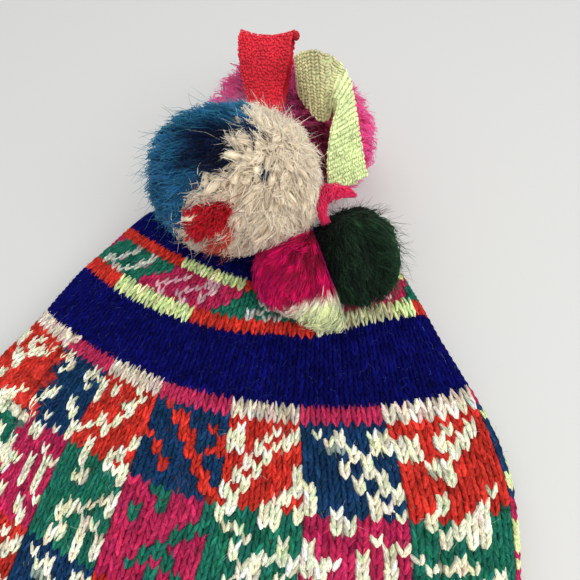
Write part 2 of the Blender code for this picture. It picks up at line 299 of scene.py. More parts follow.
def sectionAt(down):
    table = np.array(crown["sections"])
    down = np.clip(down, table[0, 0], table[-1, 0])
    low = np.clip(np.searchsorted(table[:, 0], down, side="left") - 1, 0, len(table) - 2)
    part = smoothStep((down - table[low, 0]) / (table[low + 1, 0] - table[low, 0]))
    mixed = table[low] + (table[low + 1] - table[low]) * part[..., None]
    return mixed[..., 1], mixed[..., 2], np.radians(mixed[..., 3]), np.radians(mixed[..., 4])


def tipFactor(down):
    part = np.clip((down - crown["tip"]) / crown["tipRounding"], 0.0, 1.0)
    return np.sqrt(1.0 - (1.0 - part) ** 2)


def planAt(down, across, inset):
    straight = np.minimum(down, crown["bendStart"])
    _, _, left, right = sectionAt(straight)
    factor = tipFactor(straight)
    left = np.maximum(left * factor - inset / straight, 0.0)
    right = np.maximum(right * factor - inset / straight, 0.0)
    angle = 0.5 * (right + left) * across + 0.5 * (right - left) * across ** 2
    x = straight * np.sin(angle)
    y = -straight * np.cos(angle)
    bent = np.clip(down - crown["bendStart"], 0.0, crown["bendLength"])
    safe = np.where(np.abs(angle) < 1e-5, 1e-5, angle)
    radius = crown["bendLength"] / safe
    rest = safe * (1.0 - bent / crown["bendLength"])
    x = x + radius * (np.cos(rest) - np.cos(safe))
    y = y - radius * (np.sin(safe) - np.sin(rest))
    y = y - np.maximum(down - crown["bendStart"] - crown["bendLength"], 0.0)
    return x, y


def dentAt(x, y):
    sunk = np.zeros_like(x)
    for px, down, length, width, depth, turn in crown["dents"]:
        dx, dy = x - px, -y - down
        lengthwise = dy * math.cos(turn) - dx * math.sin(turn)
        over = dx * math.cos(turn) + dy * math.sin(turn)
        sunk += depth * np.exp(-(lengthwise / length) ** 2 - (over / width) ** 2)
    return sunk


def crownPoint(down, turn, inset=0.0):
    down, turn = np.broadcast_arrays(np.asarray(down, float), np.asarray(turn, float))
    factor = tipFactor(down)
    top, fold, _, _ = sectionAt(down)
    cosine, sine = np.cos(turn), np.sin(turn)
    full = np.where(sine >= 0.0, crown["upperFullness"], crown["lowerFullness"])
    across = np.sign(cosine) * np.abs(cosine) ** (2.0 / full)
    rise = np.abs(sine) ** (2.0 / full)
    x, y = planAt(down, across, inset)
    above = fold + ((top - fold) * factor - inset) * rise - dentAt(x, y) * rise
    below = fold - ((fold + crown["pressed"]) * factor - inset) * rise
    z = np.where(sine >= 0.0, above, np.maximum(below, inset))
    return np.stack([x, y + apexY, z], -1)


# arc length round the crown: 0 on the middle of the top, growing to the right
arcRows, arcCols = 140, 1600
arcDowns = np.linspace(0.1012, crown["rim"], arcRows)
arcSteps = np.linspace(0.0, 2 * math.pi, 1441)
arcRing = crownPoint(arcDowns[:, None], (math.pi / 2 - arcSteps)[None, :])
arcLong = np.concatenate([np.zeros((arcRows, 1)),
                          np.cumsum(np.linalg.norm(np.diff(arcRing, axis=1), axis=2), axis=1)], 1)
girth = arcLong[:, -1]
shares = np.linspace(0.0, 1.0, arcCols + 1)
turnTable = np.array([np.interp(shares, arcLong[i] / girth[i], arcSteps)
                      for i in range(arcRows)])


def girthAt(down):
    return np.interp(down, arcDowns, girth)


def onCrown(down, s, inset=0.0):
    # the point s metres round from the middle of the top, down metres from the apex
    share = (s / girthAt(down)) % 1.0
    row = np.clip((down - arcDowns[0]) / (arcDowns[1] - arcDowns[0]), 0.0, arcRows - 1.001)
    col = np.clip(share * arcCols, 0.0, arcCols - 0.001)
    r, c = row.astype(int), col.astype(int)
    fr, fc = row - r, col - c
    turn = ((turnTable[r, c] * (1 - fc) + turnTable[r, c + 1] * fc) * (1 - fr)
            + (turnTable[r + 1, c] * (1 - fc) + turnTable[r + 1, c + 1] * fc) * fr)
    return crownPoint(down, math.pi / 2 - turn, inset)


def crownFrames(down, s):
    # outward, across and down directions of the surface there
    spot = onCrown(down, s)
    across = unit(onCrown(down, s + 0.0008) - onCrown(down, s - 0.0008))
    share = s / girthAt(down)
    low, high = np.maximum(down - 0.0008, 0.1013), np.minimum(down + 0.0008, crown["rim"])
    fall = unit(onCrown(high, share * girthAt(high)) - onCrown(low, share * girthAt(low)))
    out = unit(np.cross(fall, across))
    return spot, across, fall, out


yarns = {
    "n": (10, 12, 86), "o": (196, 52, 42), "b": (24, 56, 92), "r": (180, 42, 84),
    "g": (32, 106, 86), "c": (240, 238, 206), "w": (226, 210, 192), "p": (190, 50, 90),
    "y": (214, 230, 162), "m": (188, 190, 178), "k": (222, 170, 180), "l": (206, 206, 160),
    "f": (132, 152, 140),
}
dye = {key: linear(value) for key, value in yarns.items()}

# where the pattern cells meet, in mm round from the middle, at five heights in mm
cellEdges = {
    172: (-66, -45, -24, 3.4, 27, 54, 88),
    207: (-77.5, -52.5, -27.5, 3.8, 31, 62.5, 103.5),
    222: (-80, -54.5, -28, 6, 34.5, 69, 109),
    240: (-82, -57, -28.5, 7, 38.5, 75, 115),
    265: (-84, -58, -28.5, 5.5, 40, 78, 117),
    313: (-85, -59, -28.5, 6, 41, 80, 119),
}
# heights of the lines between bands, at places round the top (mm)
lineAt = (-124, -90, -50, -5, 20, 40, 60, 77, 105, 124)
lines = {
    "tip": (101,) * 10,
    "crownStart": (118,) * 10,
    "upperLine": (142, 142, 143.0, 146.0, 146, 144, 142, 141, 141, 141),
    "upperCells": (148, 148, 148.5, 152, 152, 150, 148, 147, 146, 147),
    "lowerLine": (164, 164.5, 165.5, 166.5, 165.5, 165, 161.5, 158.5, 158, 161),
    "navyBand": (172, 172.5, 173, 173, 171.5, 172.5, 168.5, 166.5, 166, 168),
    "stripe": (199, 199, 199.5, 200.8, 201.5, 202, 202.5, 203, 203, 201),
    "rowOne": (205, 205.3, 206, 207.5, 208, 208.3, 209, 210, 211.5, 208),
    "rowTwo": (235, 234.5, 234.5, 238, 238.5, 239, 240.5, 243, 248, 242),
    "rowThree": (266, 266, 266, 269, 269.5, 270, 271, 273, 279, 272),
    "rimStripe": (297, 297, 297, 298, 298.5, 299, 299.5, 300, 302, 299),
    "rimNavy": (302.5, 302.5, 302.5, 303, 303.5, 304, 304.5, 305, 306, 304),
    "rim": (312.6,) * 10,
}
chartRows = {                       # eight stitches by twelve rows; x is the second yarn
    "cream": "........ .x...x.x xx..x.xx xx.x.xx. xx.xx... ..x.x... "
             "..xx...x .x.x...x .xx....x x.x...xx xx...xx. .x..xx.x",
    "creamLeft": ".....x.. x.x...x. x.x..x.. x...xx.. x....x.. ....x... "
                 "..x.x... ..xx...x .x.x...x x.....x. ..x..xx. ..x..x.x",
    "creamRight": "........ ....x.x. xx.x.xx. xx.xxx.. xx..x... ..xx.... "
                  "..xx.... ...x.... ........ ..x...x. ..x..x.. .x..xx..",
    "blue": "........ .x.x..xx ..xx..xx ..ffx.xx ....xx.. ...x.x.. "
            "...x.xx. ....x.x. x...x.xx x....x.x x....xx. x.x..x.x",
    "ring": ".x....x. xxx..xxx ..x..x.. .x....x. ........ ........ "
            "..x..x.. .xx..xx. .x....x. x......x x..x...x .x...x.x",
    "slash": ".x...... ..xx.... ..xx..x. ...xx..x ...xx..x x...x.xx "
             ".x..xx.. .x...x.. ..x..xx. ..x...x. ......xx .......x",
    "prongs": "xx..xx.x x...xx.. .xx..... ...x..x. ..x...x. ..x.xxxx "
              "...xx..x ...xx.x. ..x.x.x. ..x..xx. .xx...x. .x......",
    "prongsLeft": "..x..xxx ..x....x ...x.... ..xx...x ......xx .....x.x "
                  "...xx... ..xx.xx. ..x..x.x ...x.x.x ..xx.x.x ..x..x..",
    "prongsRight": ".x.xxx.. ..xxxx.. ..x.xx.. ........ x..x.... .xxxx... "
                   "........ ..x..xx. .x..x.x. .x.x..x. ..x..xx. ..xxx...",
    "berry": "..xx.... ..xx.... .....x.. x.....xx x...x.x. xxx.x.x. "
             "xx..x.x. .x..x.x. x......x ..x..x.. .xx..xx. .x....x.",
    "shade": "..xx...x ...x...x ...x...x .x....xx .x...xx. .....x.. "
             "....x... ...xxx.. ...x.x.. ..x.x.x. ....x... ........",
}
charts = {name: rows.split() for name, rows in chartRows.items()}


def lineHeights(line, share, girthHere):
    # share is the part of the way round, from the middle of the top
    wrapped = (share + 0.5) % 1.0 - 0.5
    half = girthHere / 2
    s = wrapped * girthHere
    front = np.abs(s) <= half / 2
    mm = np.clip(s / (half / 2), -1, 1) * 124.0
    mirror = np.clip((half - np.abs(s)) / (half / 2), 0, 1) * 124.0 * np.sign(s)
    height = np.interp(np.where(front, mm, mirror), lineAt, lines[line])
    ends = np.interp(np.sign(s) * 124.0, lineAt, lines[line])
    behind = (np.array(lines[line])[0] + np.array(lines[line])[-1]) / 2
    blend = smoothStep((np.abs(s) - half / 2) / (half / 2) * 3.0)
    return np.where(front, height, ends + (behind - ends) * blend) * 0.001


cellsRound, cellWide, cellHigh = 14, 8, 12


def cellPlace(k, down):
    # cell number (whole at the joints between cells) to metres round
    heights = np.array(sorted(cellEdges))
    table = np.array([cellEdges[h] for h in heights], float)
    edges = np.array([np.interp(down * 1000.0, heights, table[:, j]) for j in range(7)])
    around = girthAt(down) * 1000.0
    k = k % cellsRound
    j = np.minimum(k.astype(int), 5)
    n = np.arange(len(k))
    inside = edges[j, n] + (edges[j + 1, n] - edges[j, n]) * (k - j)
    first, last = edges[0], edges[6]
    rest = last + (first + around - last) * (k - 6.0) / (cellsRound - 6.0)
    return np.where(k <= 6.0, inside, rest) * 0.001


def heather(colours):
    # hand-dyed wool: every leg a little lighter, darker or paler than the next
    light = np.exp(rng.normal(0, 0.22, (len(colours), 1)))
    tint = rng.normal(1.0, 0.06, (len(colours), 3))
    return np.clip(colours * light * tint, 0, 1)


def leans(band, letters):
    # a stitch leans to the nearest one of its own yarn in the row above, and in the row below
    grid = np.array(list(letters)).reshape(-1, int(band[:, 3].max()) + 1)
    found = []
    for step in (1, -1):
        other = np.roll(grid, step, axis=0)
        other[0 if step == 1 else -1] = "."
        right = np.roll(other, -1, axis=1) == grid
        left = np.roll(other, 1, axis=1) == grid
        lean = np.where(other == grid, 0.0, right.astype(float) - left.astype(float))
        found.append(lean.ravel())
    return np.stack(found, -1)


stitch = {
    # shares of the stitch's width or height, then metres in or out of the surface
    "footAcross": 0.05, "bellyAcross": 0.25, "headAcross": 0.44, "leanUp": 0.30, "leanDown": 0.24,
    "footFall": 0.98, "bellyFall": 0.02, "headFall": 1.06, "jitter": 0.055, "stretch": 0.09,
    "slender": (0.20, 0.27), "footIn": 0.0003, "bellyOut": 0.00118, "headIn": 0.0006,
    "proud": 0.00025, "thick": (0.0007, 0.0009),
}


def legs(name, down, s, wide, tall, colours, slim, lean, sides, rings):
    # two yarn legs to a stitch, each a bent bud that tucks under the stitch above
    spot, across, fall, out = crownFrames(down, s)
    bud, faces = budShape(sides, rings, 0.55)
    leanUp, leanDown = lean[:, :1] * stitch["leanUp"], lean[:, 1:] * stitch["leanDown"]
    proud = np.where(slim > 0.99, 0.0, stitch["proud"])[:, None]
    pieces, shades = [], []
    size = np.array(wide)[:, None]
    high = np.array(tall)[:, None]
    for hand in (-1.0, 1.0):
        jitter = rng.normal(0, stitch["jitter"], (len(down), 3))
        stretch = rng.normal(0, stitch["stretch"], (len(down), 2))
        foot = spot + across * size * (hand * stitch["footAcross"] + leanDown + jitter[:, :1])
        foot = foot + fall * high * (stitch["footFall"] + stretch[:, :1])
        foot = foot - out * stitch["footIn"]
        belly = spot + across * size * (hand * stitch["bellyAcross"] + jitter[:, 1:2])
        belly = belly + out * (stitch["bellyOut"] + proud)
        belly = belly + fall * high * stitch["bellyFall"]
        head = spot + across * size * (hand * stitch["headAcross"] + leanUp + jitter[:, 2:])
        head = head - fall * high * (stitch["headFall"] + stretch[:, 1:])
        head = head - out * (stitch["headIn"] - proud)
        width = np.array(wide) * rng.uniform(*stitch["slender"], len(down)) * slim
        thick = rng.uniform(*stitch["thick"], len(down))
        pieces.append(bowedBuds(bud, (foot, belly, head), out, width, thick))
        shades.append(heather(colours))
    spots = np.concatenate(pieces)
    spots[..., 2] = np.maximum(spots[..., 2], 0.0)
    thing = manyShapes(name, spots, faces, np.concatenate(shades), knitYarn,
                       budMaps(bud, len(spots), 1.0, 2.6))
    declare(thing, "knitted_crown")


def knitRows(top, bottom, rows, columns, offset=0.0, byCell=False):
    # stitch places of one band between two lines
    grid = []
    for r in range(rows):
        k = (np.arange(columns) + 0.5 + offset) / columns
        guess = np.full(columns, 0.5 * (lines[top][4] + lines[bottom][4]) * 0.001)
        for _ in range(3):
            around = girthAt(guess)
            s = cellPlace(k * cellsRound, guess) if byCell else k * around
            share = s / around
            one = lineHeights(top, share, around)
            two = lineHeights(bottom, share, around)
            guess = one + (two - one) * (r + 0.5) / rows
        pitch = girthAt(guess) / columns
        if byCell:
            half = 0.5 / cellWide
            pitch = (cellPlace(k * cellsRound + half, guess)
                     - cellPlace(k * cellsRound - half, guess)) % 0.02
        grid.append(np.stack([guess, s, np.full(columns, r), np.arange(columns), pitch,
                              (two - one) / rows], -1))
    return np.concatenate(grid)


def pick(letters):
    return np.array([dye[c] for c in letters])


def midArc(band):
    # metres from the middle of the top, negative to the left
    around = girthAt(band[:, 0])
    return (band[:, 1] + around / 2) % around - around / 2


def bandPiece(name, bands, rings=4):
    # the layer that lies on the table has plainer stitches, in a piece of its own
    whole = np.concatenate([b for b, _ in bands])
    letters = np.array([c for _, cs in bands for c in cs])
    lean = np.concatenate([leans(b, cs) for b, cs in bands])
    under = np.abs(midArc(whole)) > girthAt(whole[:, 0]) * 0.27
    fluffFrom.append((whole[~under], letters[~under]))
    knitted.append((whole, letters))
    for side, sides, loops, label in ((~under, 4, rings, name), (under, 3, 3, name + "Under")):
        b, cs = whole[side], letters[side]
        slim = np.where(np.isin(cs, list("cwmkyl")), 0.94, 1.0)
        legs(label, b[:, 0], b[:, 1], b[:, 4], b[:, 5], pick(cs), slim, lean[side], sides, loops)


knitted = []                        # every stitch, for the colours of the wall behind
fluffFrom = []                      # the stitches of the upper layer, for the loose fibres
tipBand = knitRows("tip", "crownStart", 6, 44)
topBand = knitRows("crownStart", "upperLine", 9, 72)
upperLine = knitRows("upperLine", "upperCells", 2, 88)
upperCells = knitRows("upperCells", "lowerLine", 6, 92)
lowerLine = knitRows("lowerLine", "navyBand", 2, 96)
navyBand = knitRows("navyBand", "stripe", 11, 108)
stripe = knitRows("stripe", "rowOne", 2, 112, 0.25, True)
rowOne = knitRows("rowOne", "rowTwo", 12, 112, 0.25, True)
rowTwo = knitRows("rowTwo", "rowThree", 12, 112, 0.25, True)
rowThree = knitRows("rowThree", "rimStripe", 12, 112, 0.25, True)
rimStripe = knitRows("rimStripe", "rimNavy", 2, 112, 0.25, True)
rimNavy = knitRows("rimNavy", "rim", 3, 112, 0.25, True)


def fromMiddle(band, columns):
    # columns counted from the middle of the top, negative to the left
    return (band[:, 3] + 0.5 + columns / 2) % columns - columns / 2


def upperLineYarn(band):
    cols = fromMiddle(band, 88) * 92 / 88
    return ["y" if -10.8 < c < -1.2 or 9.0 < c < 20 else "o" for c in cols]


def lowerLineYarn(band):
    cols = fromMiddle(band, 96) * 92 / 96
    return ["y" if -16.4 < c < -5.3 or 16.6 < c < 18.9 else
            "l" if 7.5 < c <= 16.6 else "o" for c in cols]


# the small slanting cells: first column, slant for each row, ground, figure and chart
slantCells = (
    (-21.0, -0.72, "g", "m", "bars"), (-10.7, -0.72, "r", "k", "steps"),
    (-0.8, -0.55, "g", "m", "bars"), (9.3, -0.40, "r", "k", "steps"),
    (20.0, -0.30, "g", "m", "bars"), (32.7, -0.40, "r", "k", "steps"),
    (45.4, -0.55, "g", "m", "bars"), (58.1, -0.65, "r", "k", "steps"),
)
slantCharts = {
    "bars": ("...x..x......", "....x..x.....", "...x..xx.....", "....x..x.....",
             "...xx..x.....", "....x.xx....."),
    "steps": (".....xx......", "..x..xx......", "..x..f.x.....", "..x..x.x.....",
              "..x..x..x....", "...x..x......"),
}


def upperCellYarn(band):
    out = []
    for col, row in zip(fromMiddle(band, 92), band[:, 2].astype(int)):
        for first, slant, ground, figure, chart in slantCells[::-1]:
            place = col - first - slant * row
            if place < 0 and first == -21.0:
                place, ground, figure, chart = place + 12.9, "r", "k", "steps"
            if place >= 0:
                break
        mark = slantCharts[chart][row][min(int(place), 12)]
        out.append(figure if mark == "x" else "k" if mark == "f" else ground)
    return out


def cellYarn(band, kinds):
    # kinds gives ground, figure and chart for each of the fourteen cells
    out = []
    for row, col in zip(band[:, 2].astype(int), band[:, 3].astype(int)):
        ground, figure, chart = kinds[col // cellWide % len(kinds)]
        mark = charts[chart][row % cellHigh][col % cellWide]
        out.append(figure if mark == "x" else "f" if mark == "f" else ground)
    return out


def kindsOf(text):
    return [cell.split() for cell in text.split(", ")]


kindsOne = kindsOf("b c ring, o c creamLeft, b o slash, o c cream, b c blue, o c creamRight, "
                   "b y ring, o c cream, b c blue, o c creamLeft, b o slash, o c cream, "
                   "b c blue, o c creamRight")
kindsTwo = kindsOf("r c berry, g c prongsLeft, r g shade, g c prongs, r c berry, g c prongsRight, "
                   "r y berry, g c prongs, r c berry, g c prongs, r g shade, g c prongs, "
                   "r c berry, g c prongs")
kindsThree = kindsOf("o c cream, b c blue, o c creamRight, b o slash")
stripeYarn = ["p" if int(c) // cellWide % 2 == 0 else "w" for c in stripe[:, 3]]
rimYarn = ["w" if int(c) // cellWide % 2 == 0 else "p" for c in rimStripe[:, 3]]

bandPiece("stitchesTip", [(tipBand, "n" * len(tipBand)), (topBand, "n" * len(topBand))], 3)
bandPiece("stitchesTop", [
    (upperLine, upperLineYarn(upperLine)), (upperCells, upperCellYarn(upperCells)),
    (lowerLine, lowerLineYarn(lowerLine)), (navyBand, "n" * len(navyBand))])
bandPiece("stitchesRowOne", [(stripe, stripeYarn), (rowOne, cellYarn(rowOne, kindsOne))])
bandPiece("stitchesRowTwo", [(rowTwo, cellYarn(rowTwo, kindsTwo))])
bandPiece("stitchesRowThree", [
    (rowThree, cellYarn(rowThree, kindsThree)), (rimStripe, rimYarn),
    (rimNavy, "n" * len(rimNavy))], 3)
print("stitches done")


def buildWall(name, material):
    # the smooth wall behind the stitches, with its hollow
    downs = crown["tip"] + crown["tipRounding"] * np.array([0.03, 0.1, 0.22, 0.4, 0.6, 0.8, 1.0])
    downs = np.concatenate([downs, np.linspace(downs[-1], crown["rim"] - 0.001, 62)[1:]])
    inner = np.concatenate([[0.1080], np.linspace(0.1155, crown["rim"] - 0.001, 24)])
    rows = [(d, 0.0003) for d in downs] + [(crown["rim"] - 0.0004, crown["knit"] / 2)]
    rows += [(d, crown["knit"]) for d in inner[::-1]]
    turns = np.linspace(0.0, 2 * math.pi, 97)[:-1]
    bm = bmesh.new()
    rings = []
    for down, inset in rows:
        rings.append([bm.verts.new(p) for p in crownPoint(down, turns, inset)])
    for one, two in zip(rings, rings[1:]):
        edges = [bm.edges.get((r[n], r[(n + 1) % 96])) or bm.edges.new((r[n], r[(n + 1) % 96]))
                 for r in (one, two) for n in range(96)]
        bmesh.ops.bridge_loops(bm, edges=edges)
    for ring, tip in ((rings[0], crown["tip"]), (rings[-1], 0.1075)):
        pole = bm.verts.new((0.0, apexY - tip, crown["sections"][0][2]))
        for n in range(96):
            bm.faces.new((ring[n], ring[(n + 1) % 96], pole))
    bmesh.ops.recalc_face_normals(bm, faces=bm.faces)
    mesh = toMesh(bm, name)

    # each place takes the yarn of the stitch in front of it
    tree = kdtree.KDTree(sum(len(b) for b, _ in knitted))
    colours = []
    for band, letters in knitted:
        spots = onCrown(band[:, 0], band[:, 1])
        for spot, letter in zip(spots, letters):
            tree.insert(spot, len(colours))
            colours.append(dye[letter])
    tree.balance()
    paintYarn(mesh, [(*colours[tree.find(v.co)[1]], 1.0) for v in mesh.vertices])
    declare(addObject(name, mesh, material), "knitted_crown")


def wallMaterial(name, light, dark):
    # the shaded yarn between and behind the stitches, with purl bumps
    mat, tree, shader = nodeMaterial(name)
    place = addNode(tree, "TexCoord")
    purl = addNode(tree, "TexVoronoi", {"Scale": 330.0})
    paint = addNode(tree, "Attribute", attribute_name="yarn")
    span = addNode(tree, "MapRange", {"From Max": 0.75, "To Min": light, "To Max": dark})
    tint = addNode(tree, "VectorMath", operation="SCALE")
    bump = addNode(tree, "Bump", {"Strength": 0.8, "Distance": 0.0008}, invert=True)
    join(tree, (place, "Object", purl, "Vector"), (purl, "Distance", span, "Value"),
         (paint, "Color", tint, "Vector"), (span, "Result", tint, "Scale"),
         (tint, "Vector", shader, "Base Color"), (purl, "Distance", bump, "Height"),
         (bump, "Normal", shader, "Normal"))
    setInputs(shader, {"Roughness": 0.95, "Sheen Weight": 0.15})
    return mat


backYarn = wallMaterial("backYarn", 0.75, 0.35)
buildWall("crownWall", backYarn)
print("crown wall done")


knitFluff = {"count": 2000, "length": 0.0036, "radius": 0.000042,
             "paintedSheen": (0.02, 0.04, 0.10)}


def fluffKnit(look):
    count = look["count"]
    whole = np.concatenate([b for b, _ in fluffFrom])
    letters = np.concatenate([cs for _, cs in fluffFrom])
    chosen = rng.choice(len(whole), count, replace=False)
    whole, letters = whole[chosen], letters[chosen]
    spot, across, fall, out = crownFrames(whole[:, 0], whole[:, 1])
    turn = rng.uniform(0, 2 * math.pi, (count, 1))
    way = across * np.cos(turn) + fall * np.sin(turn)
    long = look["length"] * rng.uniform(0.5, 1.5, (count, 1))
    start = spot + out * 0.0005
    bend = spot + way * long * 0.6 + out * rng.uniform(0.0014, 0.0030, (count, 1))
    end = spot + way * long + across * rng.normal(0, 0.0012, (count, 1)) + out * 0.0013
    bud, faces = budShape(3, 4, 0.5)
    fine = look["radius"] * rng.uniform(0.7, 1.3, count)
    strands = bowedBuds(bud, (start, bend, end), out, fine, fine, 0.0, 0.0005)
    strands[..., 2] = np.maximum(strands[..., 2], 0.0001)
    # painted sheen: each loose fibre is its stitch's yarn made lighter, as if catching the light
    colours = np.minimum(pick(letters) * 1.25 + np.array(look["paintedSheen"]), 1.0)
    thing = manyShapes("knitFluff", strands, faces, colours, pomYarn, budMaps(bud, count, 1.0, 4.0))
    declare(thing, "knitted_crown")


fluffKnit(knitFluff)
print("loose fibres done")


flap = {"length": 0.092, "halfWidth": 0.050, "gap": 0.0005, "droop": 0.82, "rows": 34.5,
        "stitch": 0.0042}


def flapSurface(part, acrossM, upper):
    # part 0 at the rim to 1 at the flap's end
    fullWidth = float(planAt(np.array([crown["rim"]]), np.array([1.0]), 0.0)[0][0])
    across = acrossM / fullWidth
    down = crown["rim"] + flap["gap"] + flap["length"] * part
    x, y = planAt(down, across, 0.0)
    if upper:
        top, fold, _, _ = sectionAt(np.full_like(down, crown["rim"]))
        rise = (1.0 - np.abs(across) ** crown["upperFullness"]) ** (1 / crown["upperFullness"])
        start = fold + (top - fold) * rise - crown["knit"]
        under = start + (crown["knit"] + 0.0004 - start) * smoothStep(part / flap["droop"])
    else:
        under = np.zeros_like(x)
    return np.stack([x, y + apexY, under], -1)


def buildFlap(name, node, upper):
    places = []
    for r in np.arange(0.5, flap["rows"] - 0.5):
        part = r / flap["rows"]
        half = flap["halfWidth"] * math.sqrt(1.0 - part ** 2.6) - 0.0015
        count = max(int(round(2 * half / flap["stitch"])), 1)
        xs = (np.arange(count) + 0.5) / count * 2 * half - half
        places += [(part, x, 2 * half / count, r, c - count / 2) for c, x in enumerate(xs)]
    places = np.array(places)
    part, x = places[:, 0], places[:, 1]
    face = flapSurface(part, x, upper)
    across = unit(flapSurface(part, x + 0.0005, upper) - flapSurface(part, x - 0.0005, upper))
    fall = unit(flapSurface(np.minimum(part + 0.005, 1), x, upper)
                - flapSurface(np.maximum(part - 0.005, 0), x, upper))
    out = unit(np.cross(fall, across))
    bud, faces = budShape(4, 3, 0.55)
    letters = []
    for row, col in zip(places[:, 3].astype(int), np.floor(places[:, 4]).astype(int)):
        band = row % cellHigh
        zig = (col + row) % 6 in (0, 1) or (row - col) % 6 == 3
        letters.append("n" if band in (0, 1) else "c" if zig and 3 < band < 10 else
                       "r" if row // cellHigh % 2 == 0 else "g")
    colours = pick(letters)
    pieces, shades = [], []
    high = flap["length"] / flap["rows"]
    size = places[:, 2][:, None]
    lift = out * (crown["knit"] - 0.0008)
    for hand in (-1.0, 1.0):
        foot = face + lift + across * size * hand * 0.10 + fall * high * 0.9 - out * 0.0004
        belly = face + lift + across * size * hand * 0.28 + out * 0.0009
        head = face + lift + across * size * hand * 0.35 - fall * high * 0.95 - out * 0.0008
        pieces.append(bowedBuds(bud, (foot, belly, head), out, places[:, 2] * 0.27,
                                np.full(len(places), 0.0007)))
        shades.append(heather(colours))
    spots = np.concatenate(pieces)
    thing = manyShapes(name, spots, faces, np.concatenate(shades), knitYarn,
                       budMaps(bud, len(spots), 1.0, 2.6))
    bm = bmesh.new()
    grid = []
    for part in np.sin(np.linspace(0.0, 0.5 * math.pi, 26)):
        half = flap["halfWidth"] * math.sqrt(max(1.0 - part ** 2.6, 0.0)) - 0.0004
        xs = np.linspace(-1, 1, 21) * max(half, 0.002)
        row = flapSurface(np.full(21, part * 0.992), xs, upper)
        row[:, 2] += crown["knit"] - 0.0012
        grid.append([bm.verts.new(p) for p in row])
    gridFaces(bm, grid)
    if sum(f.normal.z for f in bm.faces) < 0:
        bmesh.ops.reverse_faces(bm, faces=bm.faces)
    bmesh.ops.solidify(bm, geom=bm.faces[:], thickness=crown["knit"] - 0.0014)
    mesh = toMesh(bm, name + "Back")
    # painted shade: the sheet behind the flap's stitches is their red at 0.6, so the gaps look deep
    paintYarn(mesh, np.tile(np.append(dye["r"] * 0.6, 1.0), len(mesh.vertices)))
    for piece in (thing, addObject(name + "Back", mesh, backYarn)):
        declare(piece, node)


buildFlap("upperFlap", "ear_flap_left", True)
buildFlap("lowerFlap", "ear_flap_right", False)
print("flaps done")


crease = unit(np.array([0.013, 0.056, -0.027]))
between = unit(np.array([0.875, 0.484, 0.0]))
largeMiddle = np.array([-0.012, -0.1145, 0.0560])
partingLine = np.array([0.0317, -0.1446, 0.035])

largePom = {
    "name": "largePompom", "node": "large_pompom", "slot": "cream_and_blue_yarn",
    "middle": largeMiddle, "radii": (0.0395, 0.036, 0.035),
    "pulls": ((-0.0066, 0.0250, 0.0150),),
    "faces": ((largeMiddle + crease * 0.034, crease), ((0.0242, -0.100, 0.055), (1.0, 0, 0)),
              ((0.012, -0.134, 0.045), (0.45, -0.65, -0.55))),
    "parting": (0.66, 0.04, 0.75), "arc": 0.25, "deep": 0.80, "mid": 0.955, "wild": 0.09,
    "locks": 300, "lockWidth": 0.00165, "lockCurl": 0.0009,
    "clumps": 1200, "each": 7, "width": 0.00027, "spread": 0.028, "curl": 0.0013,
    "tone": 0.05, "hairs": 1100, "hairReach": 0.008, "rooty": 0.88, "slack": 0.0022,
}
pinkPom = {
    "name": "pinkPompom", "node": "pink_pompom", "slot": "pink_yarn",
    "middle": np.array([0.0005, -0.0575, 0.031]), "radii": (0.0465, 0.0445, 0.0325),
    "pulls": ((-0.040, 0.033, 0.010),),
    "faces": ((largeMiddle + crease * 0.0400, -crease), ((0.0, -0.060, 0.0545), (0, 0, 1.0))),
    "parting": (0.0, -0.2, 1.0), "arc": 0.23, "deep": 0.74, "mid": 0.93, "wild": 0.14,
    "locks": 300, "lockWidth": 0.00200, "lockCurl": 0.0016,
    "clumps": 640, "each": 7, "width": 0.00036, "spread": 0.034, "curl": 0.0018,
    "tone": 0.08, "hairs": 600, "hairReach": 0.0035, "rooty": 0.80, "slack": 0.001,
}
pinkTuft = {
    "name": "pinkTuft", "node": "pink_tuft", "slot": "pink_tuft_yarn",
    "middle": np.array([0.0225, -0.1455, 0.0360]), "radii": (0.0220, 0.0215, 0.0110),
    "pulls": ((0.010, 0.026, 0.007), (0.027, -0.017, -0.006), (-0.0205, 0.0130, 0.0040)),
    "faces": ((partingLine - between * 0.0004, between),
              ((0.012, -0.1345, 0.0445), (-0.45, 0.65, 0.55))),
    "parting": (0.10, 0.80, 0.60), "arc": 0.46, "deep": 0.86, "mid": 0.955, "wild": 0.07,
    "locks": 200, "lockWidth": 0.00110, "lockCurl": 0.0007,
    "clumps": 330, "each": 7, "width": 0.00034, "spread": 0.030, "curl": 0.0008,
    "tone": 0.42, "hairs": 420, "hairReach": 0.003, "rooty": 0.60, "slack": 0.0008,
}
greenTuft = {
    "name": "greenTuft", "node": "green_tuft", "slot": "dark_green_yarn",
    "middle": np.array([0.0450, -0.1325, 0.0350]), "radii": (0.0190, 0.0250, 0.0125),
    "pulls": ((-0.0155, 0.0205, 0.0045), (-0.0180, 0.0075, 0.0120)),
    "faces": ((partingLine + between * 0.0004, -between),),
    "parting": (-0.49, 0.60, 0.63), "arc": 0.48, "deep": 0.84, "mid": 0.955, "wild": 0.09,
    "locks": 200, "lockWidth": 0.00110, "lockCurl": 0.0010,
    "clumps": 330, "each": 7, "width": 0.00032, "spread": 0.040, "curl": 0.0014,
    "tone": 0.55, "hairs": 1000, "hairReach": 0.009, "rooty": 0.45, "slack": 0.0008,
}

